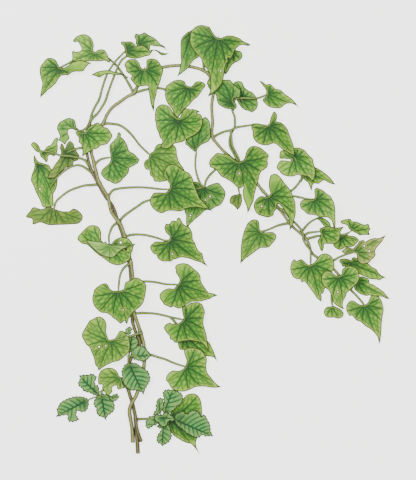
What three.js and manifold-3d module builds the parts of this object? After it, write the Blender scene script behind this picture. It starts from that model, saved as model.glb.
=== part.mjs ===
// A cut stem of black bryony, a climbing vine, lying flat on a surface.
// Two main stems twist round each other, one goes on over an arch and down the right side,
// and every leaf is one piece with its stalk.
import * as THREE from 'three';
import { mergeVertices } from 'three/addons/utils/BufferGeometryUtils.js';
import Module from 'manifold-3d';

// Driving dimensions, in millimetres
const SQUARE = 1.5; // side of one square of the drawing grid that all outlines are written on
const CENTRE = [208, 240.5]; // grid place of the origin, the middle of the plant
const STEM_RADIUS = 2.1;
const STALK_RADIUS = 1.15;
const SIDE_RADIUS = 0.8; // stalk of one leaflet
const STEM_SIDES = 8;
const STALK_SIDES = 5;
const BLADE_THICKNESS = 0.8;
const GAP = 0.3; // clearance between pieces that touch
const LOWEST_BLADE = 0.4; // height of the middle of a blade that lies on the surface
const DROOP = 1.2; // how far a blade hangs at DROOP_WIDTH from its midrib
const DROOP_WIDTH = 25;
const DROOP_LIMIT = 1.6; // most that a side hangs, in droops
const TIP_CURVE = 1.4; // how late a blade falls away towards its tip
const TIP_REACH = 1.1; // share of the midrib's length after which the fall stops
const LOBE_REACH = 0.6; // the same behind the stalk, for the lobes
const OUTLINE_STEP = 7; // shortest edge kept in a leaf's outline
const LONGEST_EDGE = 30; // longest edge inside a blade
const STEM_STEP = 10; // length of one straight piece of a stem
const STALK_STEP = 13;
const STALK_OVERLAP = 3; // how far a stalk runs on under its blade
const OFF_GROUND = 0.05; // least room under a stalk
const WELD = 1e-4; // corners nearer than this are one

// Places are written "x,y" or "x,y,z": x and y in grid squares from the sheet's top left corner,
// and z in millimetres above the surface. A star marks the tip of a leaf.
const LIGHT_STEM = `
  133,442.5,2.3 132,427 129.6,412,5 130.5,406,7 133,401,7 136,396,7 138.3,390,4.5 140.8,384,2.3 143,375
  144.6,355,2.3 144,346 142.8,340 139.8,330,2.6 136.5,320,5.5 134,312,7 133.8,302 133,278 130.8,262
  127.5,245 123,230 121,225 117.3,220 113.4,215 110.8,210 109.9,205 107.8,196.5 104.4,191 101.3,186
  98.4,180,7 95.6,170,4.3 93.3,160,2.3 91.4,152,2.3 93,142 98,131 103,124 107,115 112,108 120,102
  127,97 134,93 137,87.5 145,78 154,71 163.5,67.3 179,65.6 190.5,66.8 203,70.4 209.5,75.6 213.3,90
  211.7,106 212.6,122 212.5,137 218,145 226,153.5 240,165 250,174 262,190 276,205.5 283,214 289,222.5
  295,229 302,234.5 307.5,241 312,253 318,258 326,263.5 334,269.5 339,275.5 345,284,2.3`;
const DARK_STEM = `
  138,453.5,2.3 137.4,442 136.4,432 135.6,418 132.7,404 128.8,391 128,382 128.2,372 130,361 134,353
  139,347 139.5,340 137,335 133.4,325 131.6,312 130.8,290 130.8,278 130.2,270 127.5,254 123.3,237
  119,225 116.2,215 112.2,205 105,196 99,185.5 91.4,170 88.4,160 86.8,152 86.5,142 88,130 90,123,2.3`;
const SIDE_SHOOT = '135.3,414,3 135.6,418,6.2 137,427,7 138.8,434,6 141.3,441.5,2.5';

// heights: the blade at its stalk, at its tip and at its basal lobes, in millimetres.
// on: what the stalk grows from.
const LEAVES = [
  {
    name: 'leaf_upper_left', slot: 'leaf_green', on: ['leaf_pale_top'],
    stalk: '105,56.8,4 99,56,3.2 93,56,2.6 88,57.5,2.6 75,60,2.6 66,65,5 60,68,8',
    blades: [{ heights: [8, 3, 10.5], outline: `60,67 58.5,64.5 56.5,61 54,59 50,58 46,59.5 44,62 41,66
      40,69 40,73.5 41,78.5 42.5,83.5 41.5,89 *40,98 44,94.5 48,90.5 52.5,87 56.5,83 59,79 61,76.5
      64.5,75.5 68.5,75.5 72,73 75.5,72 80.5,72 84,71 86,68 88.5,65 92,63.5 89,62.5 85.5,61.5 80.5,60.5
      75.5,61.5 72,62.5 69.5,65 66.5,67 63,68` }],
  },
  {
    name: 'leaf_pale_top', slot: 'leaf_pale', on: ['stem_light'],
    stalk: '133.5,93,2.3 130,86,2.4 122,73,2.4 115,64,2.4 109,59,3 100,54,5.4 95,52.5,6',
    blades: [{ heights: [6, 5, 6.5], outline: `93.5,50 94,46 93,41 90,37 85.5,34.5 80,35 75.5,37.5 73,41
      74.5,42.5 78,42 80,45.5 81.5,48 81,50.5 76.5,52 73,51 72,52.5 72.5,57 *72,61.5 80,62 90,61.5
      95,61.5 101,61.5 105,61 109.5,63 110.5,60.5 109,58.5 107.5,54.5 105,50.5 101,49.5 97.5,50.5
      95,52.5` }],
  },
  {
    name: 'leaf_sliver', slot: 'leaf_green', on: ['leaf_pale_top'],
    stalk: '124.6,76.8,2.4 125.6,77.2,5 127,77.5,7.4',
    blades: [{ heights: [7.6, 7.6, 7.6], outline: `128.5,78.5 125,75.5 120,73 115,72 109.5,70.5 100.5,71
      95,73 *91,75.5 96,76.5 99.5,78 105,75 109.5,74.5 114.5,75.5 121,75.5` }],
  },
  {
    name: 'leaf_top_front', slot: 'leaf_green', on: ['stem_dark'],
    stalk: `89,125,2.3 91,118,2.3 92,114,2.3 95,107,2.6 99,100,3.4 102.5,88,4.8 107,75,5.5 113,65,5.5
      117,60,6.2 121,56,7.6 126,51,10`,
    blades: [{ heights: [10, 8, 10], outline: `124,47.5 121,44 121.5,42 125.5,42 131.5,42 135,44.5 136,46
      143,45.5 145.5,47 148,49 150,50.5 153,50 157.5,50.5 161,52.5 165.5,53.5 *169.7,53.3 165,55.5
      161,55.5 157.5,52.5 153.5,51 152,52.5 150,55.5 145,57 138,59 132.5,59 127.5,57.5 125.5,54.5` }],
  },
  {
    name: 'leaf_top_back', slot: 'leaf_green', on: ['stem_dark', 'leaf_top_front'],
    stalk: `90,122,2.3 93,118,2.3 98,113,2.5 102,107,3 105,102,3.4 109.5,89,4.8 114,77,5.5 119,65,5.5
      122,60,5.5 126,57,5.5 132,51,5.8 138,46,6`,
    blades: [{ heights: [6, 5, 6], outline: `136,44.5 136,40.5 134.5,37.5 135,35 136,34 140,34.5 145,32.5
      147,34 150.5,36 155,38.5 158.5,42 161,44.5 164.5,46.5 *166.5,50.5 163.5,48 160,47 155,46.5
      150.5,46 150,49.5 144,50` }],
  },
  {
    name: 'leaf_arch_left', slot: 'leaf_green', on: ['stem_light'],
    stalk: '135,91,2.3 137,87,4.8 140,80,8 144.5,69.4,12',
    blades: [{ heights: [12, 9, 12], outline: `142,68.5 139.5,63.5 136.5,60 132.5,59.5 129,60 126,62.5
      124.5,66 126,68.5 126.5,72 130,74.5 132,76.5 130.5,79 132.5,82 135,85 138,87 143.5,86.5 148,86.5
      148.5,90.5 149.5,96 150.5,102.5 152,108 *153.7,111.7 154.5,107.5 155,101 156.5,95.5 157.5,90
      159.5,85 161,80.5 162.5,75 163.5,71 162.5,68 160.5,64.5 158.5,61.5 155.5,59.5 151.5,59 148,59.5
      146.5,62.5 146.5,66.5 145.5,69` }],
  },
  {
    name: 'leaf_arch_top_left', slot: 'leaf_green', on: ['stem_light'],
    stalk: '204,70.9,2.3 203,60,3 198,45,3.6 192,32,5.3',
    blades: [{ heights: [5.5, 6.8, 5.5], outline: `189,31.5 184.5,35 181.5,38.5 180.5,43.5 180.5,49.5
      180.5,55.5 181,62.5 180,66.5 179,72 *176.7,77.5 180.5,74.5 184.5,71.5 188.5,68 191.5,63.5
      194.5,60 198,58 201,48 200,38 196,32` }],
  },
  {
    name: 'leaf_arch_top', slot: 'leaf_green', on: ['stem_light'],
    stalk: '208.3,74.3,2.3 212,62,5 216,50,9.5 218,38.5,13',
    blades: [{ heights: [13, 10, 13], outline: `216.5,37.5 213.5,34 211.5,31 209.5,27.5 206,26.5
      201.5,25.5 197,26.5 193.5,29 191,32 190,37 189.5,42 191,46.5 194,51.5 197.5,56 200.5,58.5 203,64.5
      206,68.5 209,73.5 210,78.5 210.5,84 210,91 *207.4,97.5 211,95.5 215,92 219.5,87.5 222,84
      223.5,79 224.5,73.5 225.5,67 228.5,62 232,58 234,53 236,49.5 240,46 243.5,45.5 247,46.5
      250.7,45.7 247.5,43.5 244,42 239,38.5 233.5,36.5 228.5,36 224.5,37 221,38.5` }],
  },
  {
    name: 'leaf_arch_top_back', slot: 'leaf_green', on: ['stem_light'],
    stalk: '211.3,79.5,2.3 219,70,3.5 226,60,5 231,50,6',
    blades: [{ heights: [6, 5, 6], outline: `234,49.5 236.5,50.5 240.5,51.5 242.5,55 241,59.5 237.5,62
      233,64.5 230,68.5 228,72 *224.7,75.6 224,68 226,58` }],
  },
  {
    name: 'leaf_arch_inner', slot: 'leaf_green', on: ['stem_light'],
    stalk: '134.3,93,2.3 141,91,2.6 148,89.3,3.2 158,88.3,4 165.5,89.5,4.8 175,91,6.2 188.3,87.8,8.8',
    blades: [{ heights: [9, 8, 9], outline: `186.5,85.5 185,82 182.5,80.5 178,80 174,81 169.5,83.5
      166,86.5 165.5,90.5 165,95.5 166,100.5 168,104.5 171,108 173,111.5 174.5,115.5 *178,118.4
      181,114.5 183.5,110.5 186.5,108 189.5,105.5 193.5,100.5 198,97 200.5,93.5 203.5,89 205.5,86.5
      205,84 202,82 198,81.5 194.5,83 191.5,86.5` }],
  },
  {
    name: 'leaf_centre_upper', slot: 'leaf_green', on: ['leaf_arch_inner'],
    stalk: '165.5,89.5,4.8 170,98,3 175,108,2.6 177.5,116,3.4 178,121,8.8',
    blades: [{ heights: [9.5, 8, 13.5], outline: `175.5,116 172,110.5 169.5,107 166,105 162,104.5
      158.5,106 156,109 155,114 155,119.5 156,125 156.5,128.5 158.5,133 160,138 162,140 162,143.5
      *160.4,147.3 162.5,148.5 166,149 169,148.5 171.5,146.5 174.5,144 179.5,143 183,142 186.5,140
      191,137.5 195.5,135 200,131 202,127 203,122.5 202.5,119 201.5,115.5 199.5,114 197,113.5
      200,112.5 197,110.5 193.5,109.5 189.5,109.5 186,108.5 183,110.5 181.5,114 179.5,118` }],
  },
  {
    name: 'leaf_centre_back', slot: 'leaf_green', on: ['stem_light'],
    stalk: `228,155.5,2.3 222,163,2.3 215,170,2.6 209,176,3.6 206,181,5.6 204,187,6.8 200,183,6.8
      197,175,6.6 195.5,168,6.4 195.5,160,6.2 196.5,151,6`,
    blades: [{ heights: [6, 5.8, 6], droop: 0.3, outline: `199,147.5 201.5,145 205,143.5 208.5,141.5
      210.5,139 211,133.5 210.5,128 210,122.5 207.5,118.5 205.5,117 *203,118 197,125 189,135 185,143.5
      188.5,147 192,150 195,152` }],
  },
  {
    name: 'leaf_centre_left', slot: 'leaf_green', on: ['stem_light'],
    stalk: `104,124,2.3 108,123.5,2.3 113,124,2.4 119,125,2.6 125,128.5,3 130,133,3.4 135,139,3.8
      140,145.5,4.2 150,155,4.9`,
    blades: [{ heights: [5, 2, 5], outline: `150.5,153 153.5,151 155,147.5 157.5,144.5 160.5,143.5
      168,143 174.5,145.5 176.5,149 177,154 178,158.5 180,163 182.5,166.5 *185,171 175,178 164.5,181.5
      161,182 157.5,182 154,181 153,178 150,175 149.5,171.5 149,170 146.5,170 144.5,167.5 144,163
      146,160 148,158.5 149,155.5` }],
  },
  {
    name: 'leaf_centre_large', slot: 'leaf_green', on: ['stem_light'],
    stalk: `108,197,7 113,190.5,7 120,188.5,6.6 130,187.6,6.4 140,187.4,6.6 150,188,7.4
      160,189.2,9.4 169,189.5,10.8`,
    blades: [{ heights: [11, 8, 11], outline: `169.5,187.5 169.5,184.5 167.5,181 164.5,178 163.5,174.5
      164.5,170.5 167,166.5 170.5,164.5 174.5,164.5 178,166 181.5,169 185,171 188.5,172.5 191.5,176
      193.5,180.5 194.5,184.5 196.5,189.5 198,193.5 200,198 203.5,201.5 207,205.5 210.5,209.5
      *213,211.7 206.5,209.5 202,208.5 196.5,207.5 191,208 186,209 182.5,211 178,211.5 174,211 168,211
      165.5,212 162,213.5 157.5,212 154,209.5 151.5,206.5 150,202.5 150,199.5 151.5,196 154,193
      157.5,192.5 162,192.5 165.5,192.5 167.5,191` }],
  },
  {
    name: 'leaf_centre_lower', slot: 'leaf_green', on: ['stem_dark'],
    stalk: `119.5,221,2.3 124,216,2.3 130,211.5,2.3 138,206,2.3 144,202,2.4 150,200,2.6 162,197,2.8
      175,194,3 190,190,3.4 203,187.5,4`,
    blades: [{ heights: [4, 2, 4], outline: `204,186.5 206.5,186.5 210.5,184.5 215,183 219,183 221,185.5
      224,189 225.5,192.5 225,197 223,201.5 220.5,205 216,207 210.5,210 205.5,210.5 200,215.5 193.5,221
      190,224.5 *188.7,226.5 186.5,225.5 186,220.5 186,215.5 184.5,211.5 185,203 188,193 192,183
      196.5,181.5 200,184.5 202.5,186.5` }],
  },
  {
    name: 'leaf_left_inner', slot: 'leaf_green', on: ['stem_light'],
    stalk: '94.5,165,3.3 99,160.5,4 104,158.5,5 110.5,157.5,6',
    blades: [{ heights: [6, 2, 5], outline: `110.5,155.5 109.5,150.5 109.5,146 111,143.5 114,140.5
      116.5,137.5 117.5,134 118.7,132 121,134 121,137 123,138.5 126,142.5 128,147 129.5,151 134,153.5
      137,156.5 *139.7,159.8 138,163 133.5,166 129.5,168.5 129,172 127,175 123.5,178.5 121,181.5
      117.5,183.5 114.5,184 110.5,182 106,180 103,177 101,173.5 102.5,169.5 105.5,166.5 109,163.5
      110.5,160` }],
  },
  {
    name: 'leaf_left_bright', slot: 'leaf_green', on: ['stem_dark'],
    stalk: '87.2,135.5,2.3 85.5,134,5 84,132,7.2',
    blades: [{ heights: [7.4, 6.6, 7.4], droop: 0.6, outline: `85,132 86,130.5 90,126 93.5,124.5 98,122.5
      100.5,124 103,126.5 107.5,128 110,131 112.5,136 110,141 106.5,144.5 101,146 98,148.5 93.5,150
      88.5,153 85,155 *82,157.8 82.5,153.5 82.5,149.5 81.5,145 79,142.5 79,138 77,135.5 75.5,133
      76.5,131.5 82.5,132` }],
  },
  {
    name: 'leaf_left_crook', slot: 'leaf_green', on: ['stem_dark'],
    stalk: '88.8,126,2.3 86,128.5,3.4 81,131,4.4 76,130,4.6',
    blades: [{ heights: [4.6, 1, 4], outline: `82,131.7 78.5,129 76.5,127 76,124 75,120.5 72,118.5
      68.5,118 64.5,119.5 60,122 58,124.5 57,129 58.5,132.5 60,136.5 58.5,140.5 60,141 63.5,143.5
      *65,145 67,141.5 69.5,139 69,136 68,131.5 69.5,129.5 73.5,129.5 80,131.8` }],
  },
  {
    name: 'leaf_far_left', slot: 'leaf_green', on: ['stem_dark'],
    stalk: `90.6,168,2.3 87.6,164,2.6 85.5,160.6,3.4 82,159,4.6 77,157.5,6.6 71.5,156.5,7 66,156,7
      60,155.4,6.6 56.3,154,6 50,152,5 42.9,151.1,4`,
    blades: [{ heights: [4, 1.2, 4], outline: `44.5,150 46.5,147 50.5,145 52.5,142.5 54.5,139 57.5,137.5
      58.5,139.5 57.5,142.5 58,146.5 57.5,151 56.5,153.5 54,156.5 50.5,155 48,157 48,160 *46.7,162.8
      43,159 40.5,156.5 39.5,153 36,151.5 33.5,148.5 31,145 33.5,142 37,143.5 39.5,146.5 41,150` }],
  },
  {
    name: 'leaf_left_olive', slot: 'leaf_green', on: ['stem_dark'],
    stalk: '86.7,150,2.3 83,148,2.5 77,148.7,2.8 72.8,150,3.2 68,152,3.4',
    blades: [{ heights: [3.4, 2.6, 3.4], droop: 0.5, outline: `67,143.5 70,141 73.5,143.5 75,148 77,151.5
      79.5,155.5 78.5,160 74,162 73.5,164 71.5,166 67,167.5 63,170.5 58.5,175 55,179 *52.7,183.6
      54,178.5 47.5,178.5 53,167.5 56,163 59.5,158 61,152 60,148 61.5,143.5 63.5,145 65,148.5` }],
  },
  {
    name: 'leaf_left_hanging', slot: 'leaf_green', on: ['stem_dark'],
    stalk: `93.3,174,2.3 87,169,3.2 82,166,4.4 78,165.3,5.2 72,166.5,5.6 66,170,5.6 61,174,5.4
      56,179,5.2 53,183,4.6 51,186.5,2.4 50,188,1.6`,
    blades: [{ heights: [1.4, 1.2, 1.6], droop: 0.2, outline: `43,207 40.5,201.5 38.5,197.5 35.5,191.5
      33.5,186 31,180.5 31.5,175.5 33.5,170 34.5,165 33.5,160 *34.4,154.3 36,158 38.5,161.5 43,163
      46.5,164 49.5,165.5 51.5,169 57.5,177.5 57.5,183 56,189.5 53.5,194 53.5,200 53,206` }],
  },
  {
    name: 'leaf_left_brown', slot: 'leaf_green', on: ['stem_dark'],
    stalk: `98.3,184.3,2.3 92,185,2.5 85,185.5,2.5 78,187.5,2.5 70,190.5,2.5 62,196,2.6 56,202,2.8
      54.5,207,3`,
    blades: [{ heights: [3, 0.8, 3], outline: `49.5,206.5 41.5,209 33.5,207 30,211 26,217 32,219 33,224.5
      40,222.5 48,225 *57.5,225 69.5,224.5 79.5,223 83,217 79,211 73.5,208.5 69.5,211 61.5,211
      55.5,209` }],
  },
  {
    name: 'leaf_folded', slot: 'leaf_green', on: ['stem_dark'],
    stalk: '117.6,222.5,2.3 113,226,3 110.5,231,4.5 109,237,7 109.5,244,9.8',
    blades: [{ heights: [10, 11.5, 6], droop: 0.8, outline: `104,242.5 102,240.5 101.5,236 101.5,232.5
      100,228.5 97.5,226 94,225 89.5,225.5 85.5,228.5 81.5,232.5 78.5,236 77.5,239 80,242 83,244
      86.5,244.5 90.5,247.5 94.5,251.5 98,254.5 102.5,257.5 106.5,260.5 111,263.5 115,265 119.5,265
      123.5,264 126.5,262.5 130,260 131.5,257.5 131.5,254 133,250.5 134,246 *136.6,242.9 133.5,244
      132,242 129,238.5 125.5,237.5 121.5,237 117,238.5 113.5,241 111.5,243.5` }],
  },
  {
    name: 'leaf_middle', slot: 'leaf_green', on: ['stem_light'],
    stalk: `125.3,236.5,7 131,235,7 137,234.5,7 145,235,7 152,236.5,7.2 159,238.5,7.4 165,240.5,7.7
      170.3,240.2,8`,
    blades: [{ heights: [8, 2, 7.5], outline: `169.5,236.5 167,234 165,230.5 164.5,227 166.5,223.5
      169,224 171,221.5 174.5,220.5 176.5,221 177,218.5 179,217.5 181.5,220 182.5,222.5 185,225
      188.5,226.5 191,229.5 192.5,234 193,239.5 195,242.5 196.5,246.5 199,251 202,253 202.5,254
      204,260 206,264 *207.9,266.8 204,264.5 200.5,262.5 195.5,261 190,259 185.5,258 181,257.5
      176.5,259 173,260 171,261.5 166.5,261.5 163,261.5 160.5,260.5 158,258.5 156,254.5 154,254
      151.5,251 150,247.5 152,244 155.5,241.5 160.5,241.5 164.5,241.5 168,240.5` }],
  },
  {
    name: 'leaf_over_stems', slot: 'leaf_green', on: ['stem_light'],
    stalk: '130.8,263,7 126,266,7.4 122,271,8.4 120,277,9.6 118.5,290.5,11.8',
    blades: [{ heights: [12, 11, 12], droop: 1, outline: `115,290.5 112.5,290 110,288 108.5,285 106,283
      103,283.5 100.5,284.5 97.5,286.5 94.5,289.5 93.5,293.5 92.5,297.5 93,302 94.5,306 98,310
      101.5,312.5 106,313 109.5,314.5 113,317.5 116.5,320 121,323.5 123.5,321.5 125,320.5 125.5,322.5
      *127.3,324.2 128.5,320 130.5,316.5 132,314 135.5,310.5 140,307 143.5,302.5 145,297.5 146,292.5
      146.5,287.5 146.5,285.5 144.5,282 141,279 137.5,277.5 134,278 130.5,280 126.5,281.5 124.5,285
      124,288.5 121,290` }],
  },
  {
    name: 'leaf_middle_right', slot: 'leaf_green', on: ['stem_light'],
    stalk: '133.2,284,7 144,281.5,7.2 150,281.5,7.2 158,282.5,7.4 165,284,7.6 178,284.5,8',
    blades: [{ heights: [8, 2, 8], outline: `179.5,280.5 179,277.5 177,274.5 175.5,272 176,270 175,267.5
      176.5,265 179.5,263.5 183.5,263 187,263.5 190.5,265.5 195,269.5 198.5,272.5 200.5,276 201,280.5
      202.5,284 205,287.5 207,290.5 209,292.5 212.5,293 *218.1,295.5 213,297 209.5,299 205.5,300
      201,301.5 196.5,301.5 191.5,302 187,304.5 183,307 179.5,308.5 176.5,308 173.5,306.5 171,307.5
      167.5,306 164,304.5 162,301.5 160,298.5 159.5,295 161,292.5 164.5,289.5 169,288 173.5,288.5
      176,286` }],
  },
  {
    name: 'leaf_lower_middle', slot: 'leaf_green', on: ['stem_light'],
    stalk: '134.3,313.3,7 140,313,7 147,313,7 155,313.5,7.3 163,315,7.8 171,317,8.5 183,319.5,9.4',
    blades: [{ heights: [9.5, 5, 10.5], outline: `183.5,317.5 182.5,313.5 182,310 182,307.5 186.5,305
      190,303 194,302 198.5,302 202,304 204,308 205,312 204,317 203.5,323.5 205,329 206.5,334.5
      207.5,341 208.5,347.5 *208.6,350.8 206,348.5 204,345 200.5,342.5 195.5,341.5 190.5,340.5 186.5,341
      182,341.5 178.5,342.5 175,342.5 172.5,340 170,339 169.5,336 166.5,332.5 164.5,329.5 164,327
      166,324 169.5,322.5 173.5,323.5 178,323 181,321` }],
  },
  {
    name: 'leaf_lower_dark', slot: 'leaf_green', on: ['leaf_lower_middle'],
    stalk: '171,317,8.5 175,322,5.5 179,328,4.2 184,336,4',
    blades: [{ heights: [4, 2, 4], outline: `180,336 178,340 178.5,346.5 180,349.5 183,350 188,351
      195,352.5 201,354.5 206,356 210,356.5 214,357.5 *217.7,363.1 215.5,356 214,351.5 212,347.5
      210.5,344 208.5,341.5 204,337 198,333 191,331 187,332.5` }],
  },
  {
    name: 'leaf_lower_right', slot: 'leaf_green', on: ['stem_light'],
    stalk: '144.3,353,2.3 152,355,3.4 158,357,4.6 165,359,5.8 172,362,6.8 179,364.5,7.6 186,366.5,8',
    blades: [{ heights: [8, 3, 8.5], outline: `186.5,361 185,355.5 184,352.5 184.5,349 188.5,347.5
      194,347.5 198.5,348.5 202.5,351 205,354.5 207,358.5 206.5,364 206.5,368.5 207.5,372.5 211,377
      214,381 217,384 220,386 *222.7,386.4 217.5,387.5 211.5,387.5 205.5,386.5 199,386.5 195.5,387
      191,389 186,391 182.5,391.5 177.5,391 172.5,389 170,386 168.5,383 166,380 166.5,376 169,372.5
      173,370 177.5,370.5 181.5,369.5 184,367.5` }],
  },
  {
    name: 'leaf_lower_left', slot: 'leaf_green', on: ['stem_light'],
    stalk: '141.2,333,2.3 140.6,332.8,7 136,334,8 128,337,8.6 119,339,9.6 110.5,340,10',
    blades: [{ heights: [10, 7, 10], droop: 0.8, outline: `109,339 107.5,335.5 106.5,330.5 107,325.5
      106,321 104,318.5 101,316.5 97,316.5 93.5,318.5 89.5,320.5 87.5,324 85,328 83,331.5 82,335.5
      83.5,339.5 86.5,344.5 89.5,347 91.5,352 93.5,356.5 94.5,360.5 95.5,365 97.5,367 *98.6,370.7
      101,369 104.5,366.5 109,364 113.5,362 119.5,360.5 123.5,357.5 127,354.5 129.5,351.5 130.5,346.5
      130,340 128.5,336 125.5,332.5 123,330.5 120,330.5 118.5,332.5 116.5,336 114.5,338.5 112.5,339` }],
  },
  {
    name: 'leaf_pale_curled', slot: 'leaf_pale', on: ['stem_dark'],
    stalk: '128,381,2.3 124,379,3.4 121,377.5,4.4',
    blades: [{ heights: [4.6, 3.6, 4.6], droop: 0.4, outline: `121.5,377.5 119.5,376 118,372.5 116,370
      113,368 109,367.5 104,368.5 100.5,371 98.5,375.5 98,380.5 99,384.5 102.5,384.5 102,387.5 104,391
      106.5,394.5 *108.8,396.6 109.5,395 112.5,391.5 112,389 113,386.5 117,385.5 117,388 118.5,389.5
      121.5,388.5 125,387.5 123,383` }],
  },
  {
    name: 'compound_leaf_left', slot: 'leaflet_blue', on: ['stem_dark'],
    stalk: '128.8,390,2.3 123,384,1.7 118,380.5,1.6 111,383,1.6 104,389,1.6 100,396,1.8',
    side_stalks: ['100,396,1.8 94,397.5,1.8 88.5,399.7,1.8 84,402,1.8', '104,389,1.6 99,392,1.8 95,390,1.8',
      '100,396,1.8 102,399,1.8'],
    blades: [
      { base: '99,395', heights: [1.9, 1.2, 1.9], outline: `98,396 94,395 89.5,393 83.5,391 81.5,388
        78.5,386 78,382.5 79,380.5 80,377.5 *78.5,375.5 84,374.5 87.5,374.5 92,373.5 95,375 97,377.5
        95.5,380.5 95.5,384.5 98,385 99.5,394` },
      { base: '101,394', heights: [1.9, 0.9, 1.9], outline: `95,398.5 93.5,404.5 96,408.5 96.5,413
        99.5,416.5 103.5,417.5 *106,420.7 107,417 110.5,414 113.5,411.5 115,407 114,402 112,398 109,395
        102,393.5` },
      { base: '110,397', heights: [1.9, 1.2, 1.9], outline: `108,396 111.5,395 117,393.5 *119.5,397
        115.5,401 111,401` },
      { base: '88.5,399.7', heights: [1.8, 0.8, 1.8], outline: `88.5,399.5 84.5,397 78,396 72,397
        65,399.5 60.5,402.5 58.5,405.5 56.5,410 57.5,413.5 *55.6,417 59,416.5 63.5,415.5 67.5,415.5
        67.5,419 69,421.5 73.5,422 79,419.5 78,417 76.5,415 78,410.5 80.5,412 85.5,411.5 88,408.5
        89,403.5` },
    ],
  },
  {
    name: 'compound_leaf_over_stems', slot: 'leaflet_blue', on: ['stem_light'],
    stalk: '144.5,358,2.3 140,357,5.2 136,356,6 132,355.6,6.2 128.5,355.7,6.2',
    side_stalks: ['129.5,342,5.5 129.3,337,5.3 129,331,5.2', '128.5,355.7,6.2 128.3,363,6.9 130,367,7',
      '128.5,355.7,6.2 130,352,6.1', '128.5,355.7,6.2 134,355.5,6.3'],
    blades: [
      { base: '128.5,356', heights: [6.4, 6.6, 6.4], outline: `131,351.5 134.5,348 138,345 140.5,345.5
        145,347 146.5,348.5 149,351.5 *151.5,355.7 148.5,358.5 146,360.5 143.5,361.5 140,361 136.5,360
        133.5,359` },
      { base: '128.8,355.5', heights: [6.2, 5.4, 6.2], droop: 0.2, outline: `126.5,351 126,345 127.5,339
        129.5,335.5 *132.5,334 134.5,335.5 137,337.5 138.5,340 139,343.5 137.5,346 135.5,349.5
        133,352.5` },
      { base: '129,338', heights: [5.3, 5, 5.3], droop: 0.2, outline: `126,334 125,330.5 126.5,328
        *129.2,326.4 131,327 132.5,329 131.5,331 131,334` },
      { base: '128.3,362', heights: [7, 6.6, 7], droop: 0.6, outline: `125,364 123.5,366.5 121.5,371
        122,375 122,379.5 123.5,384 126.5,387.5 130,390 133.5,390.5 137.5,390.5 140.5,391.5
        *143.9,394.7 145,390 147,386.5 149,383 150.5,378.5 150,375 148.5,371 145.5,369 142,366.5
        138.5,364 135,362.5 130,362.5` },
    ],
  },
  {
    name: 'compound_leaf_base', slot: 'leaflet_blue', on: ['stem_dark'],
    stalk: '136.3,419.3,2.3 142,418.8,2.8 147,418.8,3.4 155,418.5,4.2 162.5,418,4.6',
    side_stalks: ['162.5,418,4.6 173,418.5,4.8 178,419,4.8', '162.5,418,4.6 164.5,412,4.6 165,407,4.6',
      '162.5,418,4.6 159.5,412,4.6', '162.5,418,4.6 164,426,4.6', '162.5,418,4.6 156,421,4.6'],
    blades: [
      { base: '163.5,414', heights: [4.6, 3.6, 4.6], droop: 0.4, outline: `162,410 163.5,403 163.5,399
        163,395 162.5,392.5 164.5,390 168.5,389 *173,389.6 177.5,391 181,392.5 183,396 183,401
        181.5,404 177.5,406.5 175.5,409 171.5,412 166,415.5` },
      { base: '160,415', heights: [4.6, 4, 4.6], droop: 0.2, outline: `156,416 153,414 154,411.5 156,409
        155.5,406 156,404 157,400 *158.8,398.1 161.5,397.5 163.5,400.5 164,408` },
      { base: '159,419', heights: [4.6, 3.6, 4.6], droop: 0.2, outline: `157.5,416.5 154,415.5 149.5,416
        147,418.5 145.5,422 146,427 *148.5,429.1 151,427.5 153,426 156.5,425 160,421.5` },
      { base: '163.5,422', heights: [4.6, 3, 4.6], droop: 0.2, outline: `160,423 157,426 158.5,428
        161,429 160.5,430.5 159,432.5 157,436 156.5,439 157.5,442.5 160.5,444 *162.3,446.2 165.5,444
        168.5,442.5 171,439 172,435.5 171.5,431.5 170,426 167.5,422.5` },
      { base: '173,418.5', heights: [4.8, 3, 4.8], droop: 0.6, outline: `174.5,415.5 177.5,412.5
        181.5,411 185,410.5 185.5,413 187,413.5 189.5,411 191.5,410 195.5,410 198.5,411.5 200.5,414
        201,416 203.5,414 206,416 207.5,419 209.5,422.5 210.5,426 211,431 *213.7,436.5 210,436
        205.5,436.5 202,435 200,437 197,438 194.5,437.5 190,435.5 185.5,432.5 181.5,429 177.5,426
        174.5,421.5` },
    ],
  },
  {
    name: 'leaf_base_heart', slot: 'leaf_green', on: ['compound_leaf_base'],
    stalk: '148,418.8,2.9 151,420,1.6 158,420.5,1.4 166,419.5,1.3 171,419,1.2',
    blades: [{ heights: [1.2, 0.6, 1.2], droop: 0, outline: `174,408 179,402.5 183,398.5 186.5,395
      190.5,393.5 194.5,393.5 198.5,396 201,401 202,408 202,416 201,426 198,436 196,444 *199.8,454.5
      195,448 191,444 187,443 183,441.5 178,438.5 173.5,435.5 170.5,431 167,425 167,419` }],
  },
  {
    name: 'leaf_right_top', slot: 'leaf_green', on: ['stem_light'],
    stalk: `240,165.3,2.3 236.6,158.6,1.8 233,152,1.6 230.3,147,1.6 229.6,142,1.6 230.3,136.4,1.6
      232.4,131.5,1.6 234.5,127.3,1.8 234.9,122.3,2.4 234.5,116.7,3.4 232.4,111,5 232.3,102.5,6.8`,
    blades: [{ heights: [7, 6.4, 7], droop: 0.4, outline: `233.5,100.5 235,98 239.5,98 240.5,94.5
      240.5,90 237.5,87.5 234.5,85 232,82 230,80 225.5,80 221,79.5 215,78.5 209.5,78.5 207.5,80.5
      *206.7,83.4 208,87 210,90 212,92 214.5,94 216,96 216.5,99.5 218,104 221,106.5 226.5,109
      231.5,109.5 234,110 236.5,108 237,105.5 235.5,103` }],
  },
  {
    name: 'leaf_pair_right_top', slot: 'leaf_green', on: ['leaf_right_top'],
    stalk: `232.4,110.8,5 233.5,106,4.3 234.5,100,4.3 242,98.2,4.3 250,98.4,4.3 258,98.2,4.4
      267.5,94.3,4.5`,
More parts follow.
